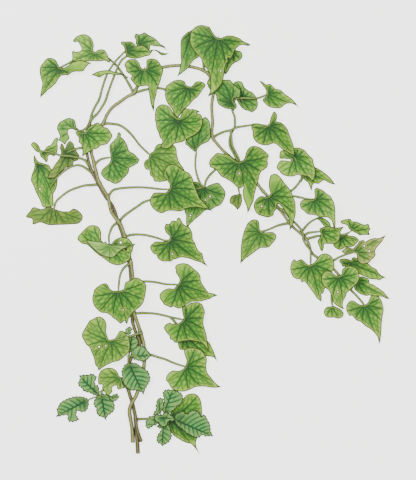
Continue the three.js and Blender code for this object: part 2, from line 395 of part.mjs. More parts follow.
    side_stalks: ['240,98.3,4.3 241.5,100,2.6 243,101.5,1.6'],
    blades: [
      { heights: [4.5, 1, 4.5], outline: `266,91 262.5,85.5 259.3,80.9 262.5,82 266,84.5 270,84
        272.5,86 275,88.5 280.5,90 285,94 289.5,97 294,101 *298.7,106.9 294,104.5 289,103.5 285.5,104.5
        280.5,108 275,108.5 269,107 265,104 262.5,100.5 263.5,98 265,97` },
      { base: '241,99', heights: [1.5, 1.2, 1.5], droop: 0.2, outline: `237,101 240.5,106.5 244.5,110
        248,111 *252,112.7 256.5,109 258,104 257,99 254.5,94.5 252,92 247.5,90 244.5,87 242,82 238,81
        234.5,82 233,86 234,92` },
    ],
  },
  {
    name: 'leaf_right_upper', slot: 'leaf_green', on: ['stem_light'],
    stalk: `213,138,2.3 216,135.5,2.8 220,133.5,3.4 225,131.5,4.2 230,130.5,4.8 236,127.8,5.4
      243,126.5,6.4 250,125.5,7.6 256,124.5,8.6 262,125.5,9.4 268.5,126.2,10`,
    blades: [{ heights: [10, 8, 10], outline: `265,126 261,125 256.5,123.5 253,124.5 251,127.5 252.5,132
      252.5,136.5 254.5,140.5 258.5,144 263.5,145.5 268,145.5 272,144 275,144 279,147 282.5,150
      286,152 291,155 *294.5,156.5 294.5,154 294,147.5 292,141.5 289.5,135 287.5,129.5 284,125
      280.5,122.5 276.5,121.5 277,118 276.5,114 274,111.7 272,114.5 270,119.5 269,123.5` }],
  },
  {
    name: 'leaf_right_middle', slot: 'leaf_green', on: ['stem_light'],
    stalk: `270.5,199.6,2.3 280,195,3 291,191,3.4 298,184,3.6 301.5,177,3.6 299,168,4.2
      294.5,157.8,5.4`,
    blades: [{ heights: [5.5, 4, 5.5], outline: `290.5,159.8 285,159 279.5,158.5 279.5,153.5 281,150.5
      285,150.5 289,149.5 294,148 297.5,147.5 301.5,148.5 305,150.5 308.5,155 312.5,158.5 313.5,163
      315,168 315.5,173 314.5,178 *312,181.8 308.5,177.5 306,176.5 301.5,176 297.5,175 293,176.5
      287.5,176.5 282,174.5 279,171 276.5,168 277.5,164 280.5,160.5 285,160.5 290.5,161` }],
  },
  {
    name: 'leaf_right_tip', slot: 'leaf_green', on: ['leaf_right_middle'],
    stalk: '300,181.5,3.6 302.5,178,2.6 306,172,2.1',
    blades: [{ heights: [2, 0.8, 2], outline: `308,168 313,166.5 319,169 325,173 331,178.5 *335.4,184.7
      331.5,184 328,182.5 324,180.5 321,182 318,184 314,183.5 312.5,186 311.5,191 310,188 308,183
      304,179.5 303.5,176` }],
  },
  {
    name: 'leaf_vine_large', slot: 'leaf_green', on: ['leaf_right_upper'],
    stalk: '231,130.5,4.9 231.2,138,5 232.5,146,6 236,153,7.2 240,161.3,8.2',
    blades: [{ heights: [8.4, 4.5, 8.4], outline: `237.5,161.5 234,159 230.5,156 226,154 222,153.5
      217,153 214,155.5 210.5,159 209,162.5 210,167 212.5,168.5 216,170 218.5,173.5 221,176.5 226,179
      231,182 235,185.5 238.5,188 241.5,188 243.5,186.5 242.5,191.5 243,196.5 244.5,201.5 246.5,206.5
      *247.4,213.1 249.5,210 251.5,205 253.5,201 254.5,195 256,189.5 257,185.5 258.5,180.5 259.5,176
      261,172 264.5,169.5 267,167.5 268,163.5 267.5,160.5 268,158 269,155.5 267,153.5 263.5,150 259,147
      254.5,146 250,147 247.5,149.5 245.5,153.5 244.5,158 242,160.5` }],
  },
  {
    name: 'leaf_vine_olive', slot: 'leaf_green', on: ['stem_light'],
    stalk: '247,171.3,2.3 241,180,2.3 238.5,187,2.4 239.3,193,2.5',
    blades: [{ heights: [2.6, 1, 2.6], outline: `236,194.5 231.5,196 229.5,199.5 230,203 234,206
      *237.5,210 240.5,206.5 242,201.5 242,198 241,194` }],
  },
  {
    name: 'leaf_vine_spotted', slot: 'leaf_green', on: ['stem_light'],
    stalk: '262.5,190.6,2.3 265,193,5.5 268.5,196.5,10',
    blades: [{ heights: [10.5, 10.5, 10.5], droop: 0.6, outline: `270,193.5 269,189.5 268.5,185.5
      269,179.5 270.5,175.5 273.5,174 277,174.5 280.5,177.5 284,182.5 287.5,186.5 291,191 293,197
      295,202 295.5,206.5 295.5,213.5 294.5,219 292.5,225.5 *289.3,231.5 289.3,227.5 289,224 288.5,219
      287.5,215.5 284.5,211.5 281,206.5 277.5,204 276.5,209 274,212 273.5,215 271.5,216.5 267,217.5
      263,216.5 258.5,215 255,211.5 253.5,205.5 255,201 258,197.5 261.5,196 266.5,196.5` }],
  },
  {
    name: 'leaf_vine_hanging', slot: 'leaf_green', on: ['stem_light'],
    stalk: '289.3,223,2.3 284,224,2.6 278,225.5,3.2 272,228,4 266,230.5,4.6 260.5,231.5,4.9',
    blades: [{ heights: [5, 1, 5], outline: `260,229.5 259.5,225.5 258.5,221 256,219.5 252.5,219.5
      248,222.5 245.5,227 244,230.5 242,238 241,244 240.5,252.5 240.5,259.5 *239.9,264 242,262 245,259
      249.5,256 256,251 261,248 265,248 268.5,247.5 272,244 275.5,239.5 276.5,236 275.5,234 273,232
      268.5,232 263.5,232` }],
  },
  {
    name: 'leaf_far_right_upper', slot: 'leaf_green', on: ['stem_light'],
    stalk: `274.5,203.9,2.3 283,201,4 292.5,196.5,5.4 297,196.8,7 302,198,9 308,199.3,10.8
      314.5,199.5,11.8`,
    blades: [{ heights: [12, 18.5, 11], droop: 1, outline: `314.5,197 314,193 314,190 316,188 320,189
      324,191.5 327,194 330,196 333,201 334.5,205.5 335,211.5 335,219 335,225.5 *333.8,230.8 332.5,226
      331,221 327.5,218 324,217.5 319,217.5 315.5,215.5 311.5,215 307.5,214.5 304,211.5 301,209
      299.5,204 301.5,200.5 307,199 311.5,199.5` }],
  },
  {
    name: 'leaf_far_right_inner', slot: 'leaf_green', on: ['stem_light'],
    stalk: '300.5,233.2,2.3 304.5,228,3.2 307.5,224.5,5 311,221.5,7 317.5,218,9.4',
    blades: [{ heights: [9.5, 9, 9.5], droop: 0.4, outline: `316,218 321,217.5 326,219.5 330,223.5
      *331,228 326,227.5 322.5,225 319.5,221 317,219.5` }],
  },
  {
    name: 'leaf_far_right_heart', slot: 'leaf_green', on: ['stem_light'],
    stalk: '303.3,235.8,2.3 308,233,5 313,232.2,10 320,231.5,15.2',
    blades: [{ heights: [15.5, 14.5, 15.5], droop: 0.6, outline: `319,229 322.5,227 327.5,226.5
      333.5,227 337.5,227.5 343,227 340.5,231 340,236 338.5,241 334,244 330,244 326.5,244 324,244
      323.5,247.5 *322,252 320,250 318.5,246 317,241.5 318.5,238.5 320,235` }],
  },
  {
    name: 'leaf_far_right_dark', slot: 'leaf_green', on: ['stem_light'],
    stalk: '306,239.2,2.3 312,237.5,4 318,236,6 330,236,9 341,236,10.4',
    blades: [{ heights: [10.5, 9.8, 10.5], droop: 0.6, outline: `343.5,234.5 350,235.5 355,236.5 *359,240
      355,245 351.5,247 346.5,247 342.5,249 340,250 336.5,249 334,247 332.5,244.5 333,241 336,238` }],
  },
  {
    name: 'leaf_far_right_small', slot: 'leaf_green', on: ['leaf_far_right_dark'],
    stalk: '336,236,10 340,235,12.2 345,234.3,12.9 350,231.5,13',
    blades: [{ heights: [13, 11, 13], droop: 0.6, outline: `348.5,229 347,226 344,224.5 341,223.5
      340,221.5 341,220.5 344,219.5 347,219 350,218.8 351.5,221 355.5,221.5 358.5,222.5 361.5,224
      364.5,224.5 367.5,223.8 369,225.5 369,227.5 *370.6,228.7 369,230.5 368.5,232.5 369.5,235 366,235
      362.5,235 359,235.5 357,234 354,232.5` }],
  },
  {
    name: 'leaf_far_right_yellow', slot: 'leaf_green', on: ['stem_light'],
    stalk: '326,263.5,2.3 334.2,260,4.4 338.3,257.5,5.8 343.3,255.4,6.8 349.2,253.3,7.4 354.5,252.2,7.6',
    blades: [{ heights: [7.6, 5, 7.6], droop: 0.6, outline: `351.5,253 346.5,254.3 343.5,253.3
      341.3,251.3 344,249 346.5,247 350,247.5 352.5,248.3 354,247 357,244 359,241 361.5,240 363.5,240
      365,241.5 367.5,240 370,239 374,238 378.5,238 382.5,236.5 *386.3,234.6 384,238 382,241.5 379,245
      376,248.5 375,251.5 375.5,254.5 374,257.5 371.5,259.5 369,262.5 365,264 361,264 358,261.5
      356.5,257.5 356,254` }],
  },
  {
    name: 'leaf_far_right_under', slot: 'leaf_green', on: ['stem_light'],
    stalk: '343.3,281.6,2.3 345.3,276,2.8 347,270,3.8 349,262.5,4.8',
    blades: [{ heights: [5, 2.4, 5], droop: 0.5, outline: `342.5,267 341,264 339,261.5 339,260 340,259
      344,258.3 348.5,259 351,260 351.5,258 354,257 357,258 363,260 369,264 371.5,266.5 376,269
      378.5,272.5 381,275 384,276.5 *386.7,278.2 383.5,278 380,280 376,279.5 370,279 365,276.5
      361.5,275.5 359,274 352,270 345,266.5` }],
  },
  {
    name: 'leaf_lowest_right', slot: 'leaf_green', on: ['stem_light'],
    stalk: '344.6,283.4,2.3 350.8,290,2.6 355,294.2,3.4 359.2,298.8,4.4 364.2,305,4.9',
    blades: [{ heights: [5, 1, 5.6], outline: `362,304.5 359,304 356.5,302.5 353.5,300.5 350.5,300.5
      347.5,303 346,306.5 346.5,311 348,314 349.5,316 351.5,315.5 354,318 356.5,320.5 360.5,322
      365,326 370,329 374,332.5 377,336.5 *379.4,344.8 380.5,339 381.3,331.5 381.7,324 382.5,316.5
      383.6,310 382.5,304 381.3,300 378.5,296.5 375,295.4 371.7,295.4 369.5,297.5 368.3,301
      366.5,303.5` }],
  },
  {
    name: 'leaf_bluish', slot: 'leaf_green', on: ['leaf_lowest_right'],
    stalk: '350.5,289.7,2.5 352.5,286,2 356,281,1.6',
    blades: [{ heights: [1.6, 0.8, 1.6], droop: 0, outline: `354,283 357,277.5 359.5,276.5 362.5,276.3
      366.5,277.5 369,279.5 370,283.5 372.5,284 376.5,286.5 381.5,290 384.5,292.5 387.5,296.5
      *390,298.8 386.5,298.8 382.5,297 378.5,296.5 374,296.5 369.5,295.5 366,296 362.5,295 359,293.5
      356,291 354,288.5 353.5,285.5` }],
  },
  {
    name: 'leaf_over_vine', slot: 'leaf_green', on: ['stem_light'],
    stalk: `277.5,207.3,2.3 281.5,209.5,5.4 285.5,212.5,6.3 290,218.5,6.3 295,223,6.3 300,228.5,6.3
      303,234,6.3 303,239,6.3 306.5,245.5,6.3 310,250,6.6 310.5,257,7.6 310.4,264.6,8.8`,
    blades: [{ heights: [9, 3, 8.5], outline: `309,264.5 306.5,263.5 304,261 301,259 298,260 296.5,261
      294.5,259 292,261 290.5,264.5 290,268.5 291,273.5 293,277 296.5,279 300,279.5 301.5,282.5
      304,281.5 306.5,284 310.5,289.5 314,294 316.5,298 *321,301.8 321.7,299 321.7,296 321,294 323,293.5
      324,291 325.5,287 328,281 331,275 332,272 334,268.5 334.3,265 333.5,260.5 332,257 329,254.5
      325,253.2 321,254 318.5,256 316,259.5 313.5,262.5` }],
  },
  {
    name: 'leaf_lower_over', slot: 'leaf_green', on: ['stem_light'],
    stalk: '341.5,279,2.3 340.5,278,7 338.8,276.7,12',
    blades: [{ heights: [12.5, 8, 12.5], outline: `336.5,275.5 334,274 331,271.5 328,270.5 325,271
      322.5,273 321,276.5 321,281 322.5,285 325,288 328,290 330,293.5 331.5,297.5 334,303.5 338.5,307
      341,308.3 *344,309.3 342.5,305 343,301.5 345.5,296.5 346.5,293.5 350,289.5 352.5,287.5 356.5,284
      358.8,280 359.2,276 358.3,271 356,268 351.5,266 346.5,265.7 343.5,267.5 341.5,270 341,273.5
      339.5,275` }],
  },
  {
    name: 'leaf_small_lower', slot: 'leaf_green', on: ['stem_light'],
    stalk: '339.6,276.4,2.3 336.5,284,2.3 334,288,2.3 331.5,295,2.3 332.3,306,2.4',
    blades: [{ heights: [2.4, 0.8, 2.4], outline: `330,306.3 326.5,307 324,310 324,313.5 325.5,316.5
      329,317.7 334,317.7 *338.3,318.8 342,317.5 343.7,314 342.5,311 340.5,309 337.5,307.5
      334,305.8` }],
  },
];

// Colour, roughness and metalness of each material
const FINISHES = {
  stem_light: [0x6f7636, 0.6, 0],
  stem_dark: [0x585227, 0.65, 0],
  leaf_green: [0x5c9636, 0.5, 0],
  leaf_pale: [0x8cae4c, 0.5, 0],
  leaflet_blue: [0x478a48, 0.5, 0],
};

const wasm = await Module();
wasm.setup();

// One written place as numbers in millimetres, with its own height or none
function place(word) {
  const [x, y, z] = word.replace('*', '').split(',').map(Number);
  return { x: (x - CENTRE[0]) * SQUARE, y: (CENTRE[1] - y) * SQUARE, z };
}

function places(text) {
  return text.trim().split(/\s+/).map(place);
}

// A route's points, where a missing height is read off between its neighbours by length
function route(text) {
  const points = places(text);
  const along = [0];
  for (let i = 1; i < points.length; i += 1) {
    along.push(along[i - 1] + Math.hypot(points[i].x - points[i - 1].x, points[i].y - points[i - 1].y));
  }
  const known = points.map((p, i) => i).filter((i) => points[i].z !== undefined);
  return points.map((p, i) => {
    const before = known.filter((k) => k <= i).at(-1);
    const after = known.find((k) => k >= i);
    const span = along[after] - along[before];
    const share = span > 0 ? (along[i] - along[before]) / span : 0;
    const z = points[before].z + (points[after].z - points[before].z) * share;
    return new THREE.Vector3(p.x, p.y, z);
  });
}

// A closed triangle mesh as a solid
function solid(geometry) {
  const bare = geometry.index ? geometry.toNonIndexed() : geometry;
  bare.deleteAttribute('normal');
  bare.deleteAttribute('uv');
  const merged = mergeVertices(bare, WELD);
  return new wasm.Manifold(new wasm.Mesh({
    numProp: 3,
    vertProperties: Float32Array.from(merged.attributes.position.array),
    triVerts: Uint32Array.from(merged.index.array),
  }));
}

// A round rod along a route
function rod(points, radius, sides, step) {
  const curve = new THREE.CatmullRomCurve3(points, false, 'centripetal');
  const section = new THREE.Shape();
  for (let i = 0; i < sides; i += 1) {
    const angle = (i / sides) * 2 * Math.PI;
    const [x, y] = [radius * Math.cos(angle), radius * Math.sin(angle)];
    if (i === 0) section.moveTo(x, y);
    else section.lineTo(x, y);
  }
  const steps = Math.max(2, Math.round(curve.getLength() / step));
  return solid(new THREE.ExtrudeGeometry(section, { steps, bevelEnabled: false, extrudePath: curve }));
}

// Height of the middle of a blade at a point: it falls towards its tip and its two sides
function bladeHeight(blade, base, tip, x, y) {
  const [atBase, atTip, atLobes] = blade.heights;
  const [ux, uy] = [tip.x - base.x, tip.y - base.y];
  const length = Math.hypot(ux, uy);
  const along = ((x - base.x) * ux + (y - base.y) * uy) / length ** 2;
  const across = Math.abs((x - base.x) * uy - (y - base.y) * ux) / length;
  const spine = along >= 0
    ? atBase + (atTip - atBase) * Math.min(along, TIP_REACH) ** TIP_CURVE
    : atBase + (atLobes - atBase) * Math.min(1, -along / LOBE_REACH);
  const droop = blade.droop ?? DROOP;
  const fall = Math.min(droop * (across / DROOP_WIDTH) ** 2, DROOP_LIMIT * droop);
  return Math.max(spine - fall, LOWEST_BLADE);
}

// Outline points at least OUTLINE_STEP apart, and the tip
function keptOutline(words) {
  const kept = [];
  for (const word of words) {
    const point = place(word);
    const last = kept.at(-1);
    const far = !last || Math.hypot(point.x - last.x, point.y - last.y) >= OUTLINE_STEP;
    if (word.startsWith('*')) {
      if (!far && kept.length > 1) kept.pop();
      kept.push(point);
    } else if (far) {
      kept.push(point);
    }
  }
  return kept.map((p) => new THREE.Vector2(p.x, p.y));
}

// Cuts the longest edge of a flat triangulation in two until none is over the limit
function splitLongEdges(points, faces, limit) {
  for (;;) {
    let longest = { length: limit };
    for (const face of faces) {
      for (let i = 0; i < 3; i += 1) {
        const [a, b] = [face[i], face[(i + 1) % 3]];
        const length = points[a].distanceTo(points[b]);
        if (length > longest.length) longest = { length, a, b };
      }
    }
    if (longest.a === undefined) return;
    const { a, b } = longest;
    const middle = points.push(points[a].clone().lerp(points[b], 0.5)) - 1;
    for (const face of [...faces]) {
      if (face.includes(a) && face.includes(b)) {
        faces.splice(faces.indexOf(face), 1);
        faces.push(face.map((v) => (v === a ? middle : v)), face.map((v) => (v === b ? middle : v)));
      }
    }
  }
}

function bladeSolid(blade, base) {
  const words = blade.outline.trim().split(/\s+/);
  const tip = place(words.find((word) => word.startsWith('*')));
  const outline = keptOutline(words);
  if (THREE.ShapeUtils.isClockWise(outline)) outline.reverse();
  const faces = THREE.ShapeUtils.triangulateShape(outline, []);
  splitLongEdges(outline, faces, LONGEST_EDGE);
  const edges = new Set(faces.flatMap(([a, b, c]) => [`${a} ${b}`, `${b} ${c}`, `${c} ${a}`]));
  const corners = [];
  const corner = (i, side) => {
    const { x, y } = outline[i];
    corners.push(x, y, bladeHeight(blade, base, tip, x, y) + (side * BLADE_THICKNESS) / 2);
  };
  for (const [a, b, c] of faces) {
    for (const i of [a, b, c]) corner(i, 1);
    for (const i of [c, b, a]) corner(i, -1);
  }
  for (const edge of edges) {
    const [a, b] = edge.split(' ').map(Number);
    if (!edges.has(`${b} ${a}`)) {
      for (const [i, side] of [[a, -1], [b, -1], [b, 1], [a, -1], [b, 1], [a, 1]]) corner(i, side);
    }
  }
  const geometry = new THREE.BufferGeometry();
  geometry.setAttribute('position', new THREE.Float32BufferAttribute(corners, 3));
  return solid(geometry);
}

// The stalk's route, run on a little under the blade
function stalkRoute(text, radius) {
  const points = route(text);
  const [before, end] = points.slice(-2);
  const onward = end.clone().sub(before).setZ(0).setLength(STALK_OVERLAP);
  return [...points, end.clone().add(onward)].map((p) => p.setZ(Math.max(p.z, radius + OFF_GROUND)));
}

const stalks = new Map();

function leafSolid(leaf) {
  stalks.set(leaf.name, stalkRoute(leaf.stalk, STALK_RADIUS));
  const parts = [rod(stalks.get(leaf.name), STALK_RADIUS, STALK_SIDES, STALK_STEP)];
  for (const text of leaf.side_stalks ?? []) {
    parts.push(rod(stalkRoute(text, SIDE_RADIUS), SIDE_RADIUS, STALK_SIDES, STALK_STEP));
  }
  for (const blade of leaf.blades) {
    const base = place(blade.base ?? leaf.stalk.trim().split(/\s+/).at(-1));
    parts.push(bladeSolid(blade, base));
  }
  return parts.reduce((whole, part) => whole.add(part));
}

function largest(whole) {
  return whole.decompose().reduce((best, part) => (part.volume() > best.volume() ? part : best));
}

const stemRoutes = {
  stem_light: [route(LIGHT_STEM)],
  stem_dark: [route(DARK_STEM), route(SIDE_SHOOT)],
};

function stemSolid(routes, radius) {
  const rods = routes.map((points) => rod(points, radius, STEM_SIDES, STEM_STEP));
  return rods.reduce((whole, part) => whole.add(part));
}

// A route made longer at both ends, so that a rod along it also clears the other rod's flat ends
function lengthened(points) {
  const beyond = (end, inner) => end.clone().add(end.clone().sub(inner).setLength(GAP));
  return [beyond(points[0], points[1]), ...points, beyond(points.at(-1), points.at(-2))];
}

// The room that a leaf must leave for what it grows on
function clearance(name) {
  if (stemRoutes[name]) return stemSolid(stemRoutes[name].map(lengthened), STEM_RADIUS + GAP);
  return rod(stalks.get(name), STALK_RADIUS + GAP, STALK_SIDES, STALK_STEP);
}

function mesh(name, slot, whole) {
  const { numProp, vertProperties, triVerts } = whole.getMesh();
  const geometry = new THREE.BufferGeometry();
  const positions = [];
  for (let i = 0; i < vertProperties.length; i += numProp) {
    positions.push(...vertProperties.slice(i, i + 3));
  }
  geometry.setAttribute('position', new THREE.Float32BufferAttribute(positions, 3));
  geometry.setIndex([...triVerts]);
  geometry.computeVertexNormals();
  const [color, roughness, metalness] = FINISHES[slot];
  const made = new THREE.Mesh(geometry, new THREE.MeshStandardMaterial({ color, roughness, metalness }));
  made.name = name;
  return made;
}

const vine = new THREE.Group();
for (const [name, routes] of Object.entries(stemRoutes)) {
  vine.add(mesh(name, name, stemSolid(routes, STEM_RADIUS)));
}
const solids = new Map(LEAVES.map((leaf) => [leaf.name, leafSolid(leaf)]));
for (const leaf of LEAVES) {
  const clear = leaf.on.map(clearance).reduce((whole, part) => whole.add(part));
  vine.add(mesh(leaf.name, leaf.slot, largest(solids.get(leaf.name).subtract(clear))));
}

export default vine;
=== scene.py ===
import logging
import math
from dataclasses import dataclass
from enum import Enum

import bpy
import numpy as np
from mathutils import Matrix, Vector, geometry, noise


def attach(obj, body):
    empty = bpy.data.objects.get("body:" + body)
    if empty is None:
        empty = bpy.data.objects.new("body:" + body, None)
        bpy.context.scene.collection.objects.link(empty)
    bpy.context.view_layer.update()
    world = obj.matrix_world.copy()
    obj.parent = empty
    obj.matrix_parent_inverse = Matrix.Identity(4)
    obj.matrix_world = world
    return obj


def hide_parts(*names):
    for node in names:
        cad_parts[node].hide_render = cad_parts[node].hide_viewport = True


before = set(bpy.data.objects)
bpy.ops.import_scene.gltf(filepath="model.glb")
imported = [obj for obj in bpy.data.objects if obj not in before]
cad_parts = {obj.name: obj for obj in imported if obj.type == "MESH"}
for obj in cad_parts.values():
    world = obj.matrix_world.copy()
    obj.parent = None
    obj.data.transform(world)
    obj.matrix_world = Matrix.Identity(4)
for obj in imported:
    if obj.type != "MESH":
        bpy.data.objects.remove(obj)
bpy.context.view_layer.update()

LOG = logging.getLogger("vine")

# The outlines below were read off in squares of 1.5 mm; heights are in mm.
SQUARE = 1.5
MIDDLE = np.array([208.0, 240.5])
MM = 0.001
LOWEST_BLADE = 0.4  # least height of a blade's upper relief
OFF_FLOOR = 0.05  # least height of a rod's skin
NEAREST = 0.01  # least distance between places of a route that a curve reckons with
DENSE = 3  # places of a curve for each step, before they are spaced evenly
TINY = 1e-9  # keeps a division by a length of nothing from failing
HAIR = 1e-12  # keeps a division by a level side of a ring from failing
SEEDS = 97  # noises that the leaves are spread over
ROW = 0.866  # height of a triangle with even sides, in sides
BETWEEN_SEEDS = 3.7  # between the noises of a leaf's blades
WHITE = (1.0, 1.0, 1.0, 1.0)


class Tint(Enum):
    """Which of the vine's leaf skins a leaf has."""

    FRESH = "fresh"
    # Paler copy of the fresh skin, as painted light.
    BRIGHT = "bright"
    YOUNG = "young"
    # Darker copy of the fresh skin, as painted shade.
    DEEP = "deep"
    OLIVE = "olive"
    YELLOWING = "yellowing"
    BLUISH = "bluish"
    FOLD = "fold"


class Kind(Enum):
    """How the veins run, and whether the edge has teeth."""

    HEART = "heart"
    FEATHER = "feather"
    TOOTHED = "toothed"


@dataclass(frozen=True)
class Blade:
    """One leaf blade.

    Args:
        heights: Height at the junction, at the tip and at the basal lobes, in mm.
        outline: Corners of the edge in squares, the tip marked with a star.
        base: Junction in squares; empty where it is the end of the stalk.
        droop: How far the sides hang, in mm at 25 mm from the midrib.
        holes: Insect holes as x, y and radius in squares.
        tint: Its own skin, where it isn't the leaf's.
        fan: Where its veins meet, in squares, on a leaf whose folded base hides that they run
            from there towards the junction; empty where they meet at the junction.
    """

    heights: tuple[float, float, float]
    outline: str
    base: str = ""
    droop: float = 1.2
    holes: tuple[str, ...] = ()
    tint: Tint | None = None
    fan: str = ""


LIGHT_ROUTE = """
    133,442.5,2.3 132,427 129.6,412,5 130.5,406,7 133,401,7 136,396,7 138.3,390,4.5
    140.8,384,2.3 143,375 144.6,355,2.3 144,346 142.8,340 139.8,330,2.6 136.5,320,5.5 134,312,7
    133.8,302 133,278 130.8,262 127.5,245 123,230 121,225 117.3,220 113.4,215 110.8,210
    109.9,205 107.8,196.5 104.4,191 101.3,186 98.4,180,7 95.6,170,4.3 93.3,160,2.3 91.4,152,2.3
    93,142 98,131 103,124 107,115 112,108 120,102 127,97 134,93 137,87.5 145,78 154,71
    163.5,67.3 179,65.6 190.5,66.8 203,70.4 209.5,75.6 213.3,90 211.7,106 212.6,122 212.5,137
    218,145 226,153.5 240,165 250,174 262,190 276,205.5 283,214 289,222.5 295,229 302,234.5
    307.5,241 312,253 318,258 326,263.5 334,269.5 339,275.5 345,284,2.3"""
DARK_ROUTE = """
    138,453.5,2.3 137.4,442 136.4,432 135.6,418 132.7,404 128.8,391 128,382 128.2,372 130,361
    134,353 139,347 139.5,340 137,335 133.4,325 131.6,312 130.8,290 130.8,278 130.2,270
    127.5,254 123.3,237 119,225 116.2,215 112.2,205 105,196 99,185.5 91.4,170 88.4,160 86.8,152
    86.5,142 88,130 90,123,2.3"""
SHOOT_ROUTE = "135.3,414,3 135.6,418,6.2 137,427,7 138.8,434,6 141.3,441.5,2.5"


def to_mm(squares: np.ndarray) -> np.ndarray:
    """Turns places in squares, y down, into mm from the middle, y up."""
    return (squares - MIDDLE) * np.array([SQUARE, -SQUARE])


def read_words(text: str) -> list[list[float]]:
    """Splits a text of comma-joined words into rows of numbers."""
    return [[float(value) for value in word.strip("*").split(",")] for word in text.split()]


def read_place(text: str) -> np.ndarray:
    """Reads one flat place, in mm."""
    return to_mm(np.array(read_words(text)[0][:2]))


def read_route(text: str) -> np.ndarray:
    """Reads a stem or stalk route.

    Args:
        text: Places as "x,y" or "x,y,z" words; a missing height is found by the run between.

    Returns:
        The places in mm, one row each.
    """
    rows = read_words(text)
    flat = to_mm(np.array([row[:2] for row in rows]))
    run = travelled(flat)
    known = [i for i, row in enumerate(rows) if len(row) > 2]
    heights = np.interp(run, run[known], [rows[i][2] for i in known])
    return np.column_stack([flat, heights])


def travelled(points: np.ndarray) -> np.ndarray:
    """Gives the length of the way from the first place to each place."""
    return np.concatenate([[0.0], np.cumsum(np.linalg.norm(np.diff(points, axis=0), axis=1))])


def smooth(points: np.ndarray, step: float) -> np.ndarray:
    """Draws an even curve through places.

    Args:
        points: Places in mm, one row each.
        step: Distance between the places that come back.

    Returns:
        Places on a centripetal Catmull-Rom curve, evenly spaced.
    """
    ends = 2 * points[0] - points[1], 2 * points[-1] - points[-2]
    way = np.vstack([ends[0], points, ends[1]])
    root = np.sqrt(np.maximum(np.linalg.norm(np.diff(way, axis=0), axis=1), NEAREST))
    parts = []
    for i in range(1, len(way) - 2):
        before, here, there, after = way[i - 1 : i + 3]
        lead, span, trail = root[i - 1 : i + 2]
        leave = there - here + span * ((here - before) / lead - (there - before) / (lead + span))
        arrive = there - here + span * ((after - there) / trail - (after - here) / (span + trail))
        count = max(DENSE, int(span * span / step * DENSE))
        t = np.linspace(0, 1, count, endpoint=False)[:, None]
        cubic = 2 * (here - there) + leave + arrive
        square = 3 * (there - here) - 2 * leave - arrive
        parts.append(((cubic * t + square) * t + leave) * t + here)
    dense = np.vstack([*parts, points[-1:]])
    run = travelled(dense)
    at = np.linspace(0, run[-1], max(3, round(run[-1] / step) + 1))
    return np.column_stack([np.interp(at, run, column) for column in dense.T])


def within(points: np.ndarray, ring: np.ndarray) -> np.ndarray:
    """Tells which points lie inside a closed ring.

    Args:
        points: Flat places, one row each.
        ring: Corners of the ring in order.

    Returns:
        True for each point that lies inside.
    """
    x, y = points[:, :1], points[:, 1:2]
    here, there = ring, np.roll(ring, -1, axis=0)
    crosses = (here[:, 1] > y) != (there[:, 1] > y)
    rise = there[:, 1] - here[:, 1] + HAIR
    at = here[:, 0] + (y - here[:, 1]) * (there[:, 0] - here[:, 0]) / rise
    return (crosses & (x < at)).sum(axis=1) % 2 == 1


def away(points: np.ndarray, starts: np.ndarray, ends: np.ndarray) -> np.ndarray:
    """Measures how far points are from the nearest of some straight pieces.

    Args:
        points: Flat places, one row each.
        starts: Where each straight piece starts.
        ends: Where each straight piece ends.

    Returns:
        The distance of each point in mm.
    """
    span = ends - starts
    offset = points[:, None, :] - starts
    share = (offset * span).sum(axis=2) / ((span * span).sum(axis=1) + TINY)
    nearest = offset - np.clip(share, 0, 1)[..., None] * span
    return np.linalg.norm(nearest, axis=2).min(axis=1)


def straights(lines: list[np.ndarray], closed: bool) -> tuple[np.ndarray, np.ndarray]:
    """Cuts lines into their straight pieces.

    Args:
        lines: Places along each line.
        closed: Whether each line runs back to its first place.

    Returns:
        Where the pieces start and where they end.
    """
    if closed:
        return np.vstack(lines), np.vstack([np.roll(line, -1, axis=0) for line in lines])
    return np.vstack([line[:-1] for line in lines]), np.vstack([line[1:] for line in lines])


def turned(direction: np.ndarray, degrees: float) -> np.ndarray:
    """Turns a flat direction anticlockwise."""
    c, s = math.cos(math.radians(degrees)), math.sin(math.radians(degrees))
    return np.array([c * direction[0] - s * direction[1], s * direction[0] + c * direction[1]])


def ripple(points: np.ndarray, size: float, seed: float) -> np.ndarray:
    """Gives smooth noise of about -1 to 1 at each flat place, with bumps of a size in mm."""
    return np.array([noise.noise(Vector((x / size, y / size, seed))) for x, y in points])


